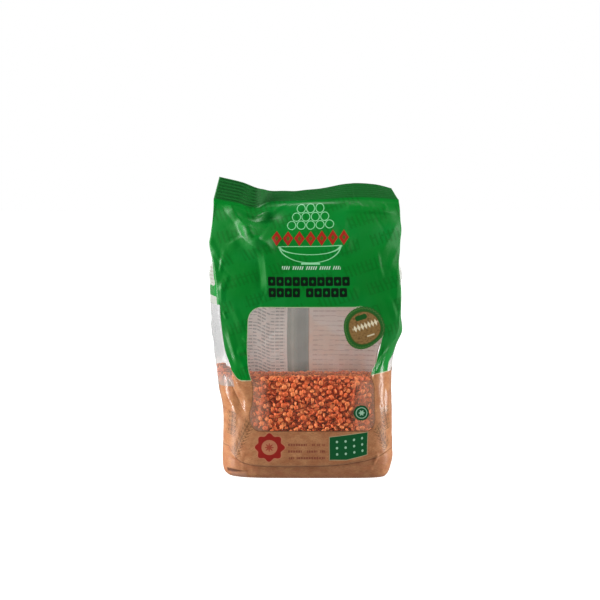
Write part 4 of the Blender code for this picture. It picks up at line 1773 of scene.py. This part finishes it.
def print_back(press):
    """The whole design of the back half of the film."""
    s, h = press.s, press.h
    kraft = kraft_ground(press)
    green = green_ground(press)
    press.colour = kraft
    press.lay(green, inside(BACK_GREEN_FROM - h))
    field_middle = (BACK_FIELD_LOW + BACK_FIELD_HIGH) / 2
    field_half = (BACK_FIELD_HIGH - BACK_FIELD_LOW) / 2
    wavy = h + rise_of(s, -40.0, -25.0) * 5.0
    left = box(s, h, (-39.0, field_middle), 24.4, field_half, 1.0)
    press.lay(INK_BACK_WHITE, inside(left))
    in_word = size_of(repeated(s - WORD_PITCH / 2, WORD_PITCH)) - 1.4
    line = size_of(repeated(wavy, LINE_PITCH)) - 0.50
    shown = reckon("GREATER_THAN", press.lottery(WORD_PITCH, LINE_PITCH), 0.24)
    letters = most(size_of(repeated(s, LETTER_PITCH)) - 0.37, most(line, in_word))
    press.lay(INK_BACK_LETTERS, inside(most(letters, left + 1.8), SMALL_BLUR) * shown * 0.9)
    seam = stretch_between(s, -14.6, 1.2)
    on_seam = stretch_between(h, SEAM_LOW, SEAM_HIGH)
    press.lay(INK_SEAM, inside(most(seam, on_seam)))
    press.lay(INK_SEAM_DEEP, inside(stretch_between(s, -7.4, 0.0), 1.2) * inside(on_seam) * 0.7)
    press.lay(INK_SEAM_LIGHT, inside(stretch_between(s, -11.6, -9.8), 0.8) * inside(on_seam) * 0.6)
    right = box(s, h, (32.5, field_middle), 30.8, field_half, 1.0)
    press.lay(INK_BACK_TAN, inside(right))
    press.lay(INK_BACK_TAN_LIGHT, inside(right) * press.clouds(24.0, 18.0, 1.0, 0.45, 0.6) * 0.7)
    press.lay(INK_BACK_DASHES, press.dashes(4.2, 3.6, 0.50, 3.7, 0.75) * inside(right + 2.5) * 0.5)
    press.lay(kraft, inside(most(h - GUSSET_CLEAR_LOW, GUSSET_PRINT_FROM - size_of(s))))
    print_sides(press)


# %% [markdown]
# Over the print lies smooth plastic. It mirrors lamps in soft streaks, and fine crinkles break those up.
# The crinkles are a bump far finer than the folds in the mesh, and the gloss varies a little with them.

# %% Give the printed film its finish
FILM_ROUGHNESS = (0.14, 0.27)
FILM_SPECULAR = 0.30
PRINT_CRINKLES = 0.55
CRINKLE_DISTANCE = 0.00022
CRINKLE_SCALE = 210.0
CRINKLE_STRETCH = (1.0, 1.0, 0.55)

# Where the film is duller: the heights between which it grows duller, and by how much
DULLER = ((76.0, 96.0, 0.17), (50.0, 42.0, 0.20), (188.0, 190.0, 0.28))


def add_node(tree, kind, inputs):
    """A new node, with values or other nodes' outputs at its inputs."""
    node = tree.nodes.new(kind)
    for name, value in inputs.items():
        if isinstance(value, bpy.types.NodeSocket):
            tree.links.new(value, node.inputs[name])
        else:
            node.inputs[name].default_value = value
    return node


def fine_crinkles(tree, strength):
    """A bump of small wrinkles, from the place in space."""
    place = tree.nodes.new("ShaderNodeTexCoord").outputs["Object"]
    stretch = add_node(tree, "ShaderNodeMapping", {"Vector": place, "Scale": CRINKLE_STRETCH})
    creases = add_node(tree, "ShaderNodeTexNoise", {"Vector": stretch.outputs["Vector"],
                                                    "Scale": CRINKLE_SCALE, "Detail": 3.0, "Distortion": 0.6})
    height = creases.outputs["Fac"]
    bump = add_node(tree, "ShaderNodeBump", {"Height": height, "Strength": strength,
                                             "Distance": CRINKLE_DISTANCE})
    return bump.outputs["Normal"], height


def finish_printed(press):
    """The gloss of film over the design."""
    press.feed(press.finish.inputs["Base Color"], press.colour)
    normal, creases = fine_crinkles(press.tree, PRINT_CRINKLES)
    press.tree.links.new(normal, press.finish.inputs["Normal"])
    gloss = add_node(press.tree, "ShaderNodeMapRange", {"Value": creases, "To Min": FILM_ROUGHNESS[0],
                                                        "To Max": FILM_ROUGHNESS[1]})
    roughness = Inked(gloss.outputs["Result"])
    for start, stop, more in DULLER:
        roughness = roughness + rise_of(press.h, start, stop) * more
    press.tree.links.new(roughness.socket, press.finish.inputs["Roughness"])
    press.finish.inputs["Specular IOR Level"].default_value = FILM_SPECULAR
    return press.material


front_press = Press("front_print")
print_front(front_press)
front_print = finish_printed(front_press)
back_press = Press("back_print")
print_back(back_press)
back_print = finish_printed(back_press)
print("front print", len(front_print.node_tree.nodes), "nodes, back print", len(back_print.node_tree.nodes))

# %% [markdown]
# Clear film lets nearly all light through. What makes it visible is the gloss on it, a faint haze of
# scratches, and the milky look where it stands off the lentils near its edges. So it is a see-through
# shader mixed with a little pale glossy film, and the share of that grows with the haze and towards grazing
# angles.

# %% Make the clear film
FRONT_HAZE = 0.045
MILKY_HAZE = 0.19
SIDE_HAZE = 0.30
EDGE_HAZE = 0.25
HAZE_GREY = (0.10, 0.10, 0.10)
HAZE_MILKY = (0.95, 0.92, 0.88)
HAZE_WARM = (1.0, 0.57, 0.38)
HAZE_PALE = (0.50, 0.42, 0.36)
CLOUDY_HAZE = 0.04
GRAZING_HAZE = 0.10
GRAZING_BLEND = 0.25
TO_SIDE_FROM = 56.0
SIDE_HAZE_FULL = 64.0
SIDE_TONE_FULL = 62.0
WARM_BELOW = 72.0
WARM_RISE = 8.0
CLEAR_ROUGHNESS = 0.22
CLEAR_SPECULAR = 0.5
CLEAR_CRINKLES = 0.5


def clear_material(name, on_front):
    """Clear film with a haze that varies over it."""
    press = Press(name)
    s, h = press.s, press.h
    tree = press.tree
    haze = press.clouds(14.0, 9.0, 3.0, 0.40, 0.80) * CLOUDY_HAZE
    haze = haze + rise_of(size_of(s), TO_SIDE_FROM, SIDE_HAZE_FULL) * SIDE_HAZE + FRONT_HAZE
    haze = haze + inside(76.0 - h, 6.0) * inside(size_of(s) - 58.0, 2.0) * MILKY_HAZE
    if on_front:
        off_edge = size_of(s - 3.0) - 34.0 + press.clouds(7.0, 9.0, 2.0) * 9.0
        near_edge = reckon("MULTIPLY", off_edge, 0.12, clamp=True)
        haze = haze + near_edge * inside(h - 69.0, 3.0) * EDGE_HAZE
    facing = add_node(tree, "ShaderNodeLayerWeight", {"Blend": GRAZING_BLEND})
    share = reckon("ADD", haze, Inked(facing.outputs["Facing"]) * GRAZING_HAZE, clamp=True)
    through = tree.nodes.new("ShaderNodeBsdfTransparent")
    mixed = tree.nodes.new("ShaderNodeMixShader")
    tree.links.new(share.socket, mixed.inputs["Fac"])
    tree.links.new(through.outputs["BSDF"], mixed.inputs[1])
    tree.links.new(press.finish.outputs["BSDF"], mixed.inputs[2])
    to_side = rise_of(size_of(s), TO_SIDE_FROM, SIDE_TONE_FULL)
    low = inside(h - WARM_BELOW - to_side * WARM_RISE, 4.0)
    above = press.blend(HAZE_MILKY, HAZE_GREY, to_side)
    below = press.blend(HAZE_WARM, HAZE_PALE, to_side)
    press.feed(press.finish.inputs["Base Color"], press.blend(above, below, low))
    press.finish.inputs["Roughness"].default_value = CLEAR_ROUGHNESS
    press.finish.inputs["Specular IOR Level"].default_value = CLEAR_SPECULAR
    tree.links.new(fine_crinkles(tree, CLEAR_CRINKLES)[0], press.finish.inputs["Normal"])
    output = next(node for node in tree.nodes if node.type == "OUTPUT_MATERIAL")
    tree.links.new(mixed.outputs["Shader"], output.inputs["Surface"])
    return press.material


clear_film_front = clear_material("clear_film_front", True)
clear_film_sides = clear_material("clear_film_sides", False)

# %% [markdown]
# A red lentil is salmon orange, a little different on every seed, with a paler bloom of flour and a dull
# sheen. The tone stored with each copy picks its shade, and a fine noise mottles it.

# %% Colour the lentils
LENTIL_ROUGHNESS = 0.55
LENTIL_SPECULAR = 0.35
MOTTLE_SCALE = 900.0
MOTTLE_SHARE = 0.35
GRAIN_STRENGTH = 0.3
GRAIN_DISTANCE = 0.0001
PLAIN_TONE = 0.3
RAMP_PLACES = (0.10, 0.62, 1.0)


def lentil_material(name, shades, own_tone):
    """Lentils in shades picked by their own tone."""
    material = bpy.data.materials.new(name)
    material.use_nodes = True
    tree = material.node_tree
    finish = tree.nodes["Principled BSDF"]
    place = tree.nodes.new("ShaderNodeTexCoord").outputs["Object"]
    mottle = add_node(tree, "ShaderNodeTexNoise", {"Vector": place, "Scale": MOTTLE_SCALE, "Detail": 3.0})
    picked = Inked(mottle.outputs["Fac"]) * MOTTLE_SHARE
    if own_tone:
        tone = tree.nodes.new("ShaderNodeAttribute")
        tone.attribute_name = "tone"
        picked = picked + Inked(tone.outputs["Fac"])
    else:
        picked = picked + PLAIN_TONE
    ramp = add_node(tree, "ShaderNodeValToRGB", {"Fac": picked.socket})
    steps = ramp.color_ramp.elements
    steps.new(RAMP_PLACES[1])
    for step, place_on_ramp, shade in zip(steps, RAMP_PLACES, shades):
        step.position = place_on_ramp
        step.color = (*shade, 1.0)
    tree.links.new(ramp.outputs["Color"], finish.inputs["Base Color"])
    grain = add_node(tree, "ShaderNodeBump", {"Height": mottle.outputs["Fac"], "Strength": GRAIN_STRENGTH,
                                              "Distance": GRAIN_DISTANCE})
    tree.links.new(grain.outputs["Normal"], finish.inputs["Normal"])
    finish.inputs["Roughness"].default_value = LENTIL_ROUGHNESS
    finish.inputs["Specular IOR Level"].default_value = LENTIL_SPECULAR
    return material


lentil_skin = lentil_material("lentil_skin", (ink(222, 94, 42), ink(240, 114, 54), ink(250, 142, 78)), True)
heap_inside = lentil_material("heap_inside", (ink(206, 76, 34), ink(218, 88, 40), ink(228, 100, 48)), False)

# %% [markdown]
# Last, every piece gets its material and rides on the one body of the frame, and the CAD bag is hidden.

# %% Hand the pieces to the frame
def hand_over(piece, material):
    """One finished piece into the frame."""
    piece.data.materials.clear()
    piece.data.materials.append(material)
    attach(piece, "root")
    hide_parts("bag")


for piece in (printed_front, top_seal, folded_bottom):
    hand_over(piece, front_print)
for piece in (printed_back, fin_seal):
    hand_over(piece, back_print)
hand_over(clear_front_film, clear_film_front)
hand_over(clear_back_film, clear_film_sides)
for heap in lentil_heaps:
    hand_over(heap, lentil_skin)
hand_over(lentil_core, heap_inside)
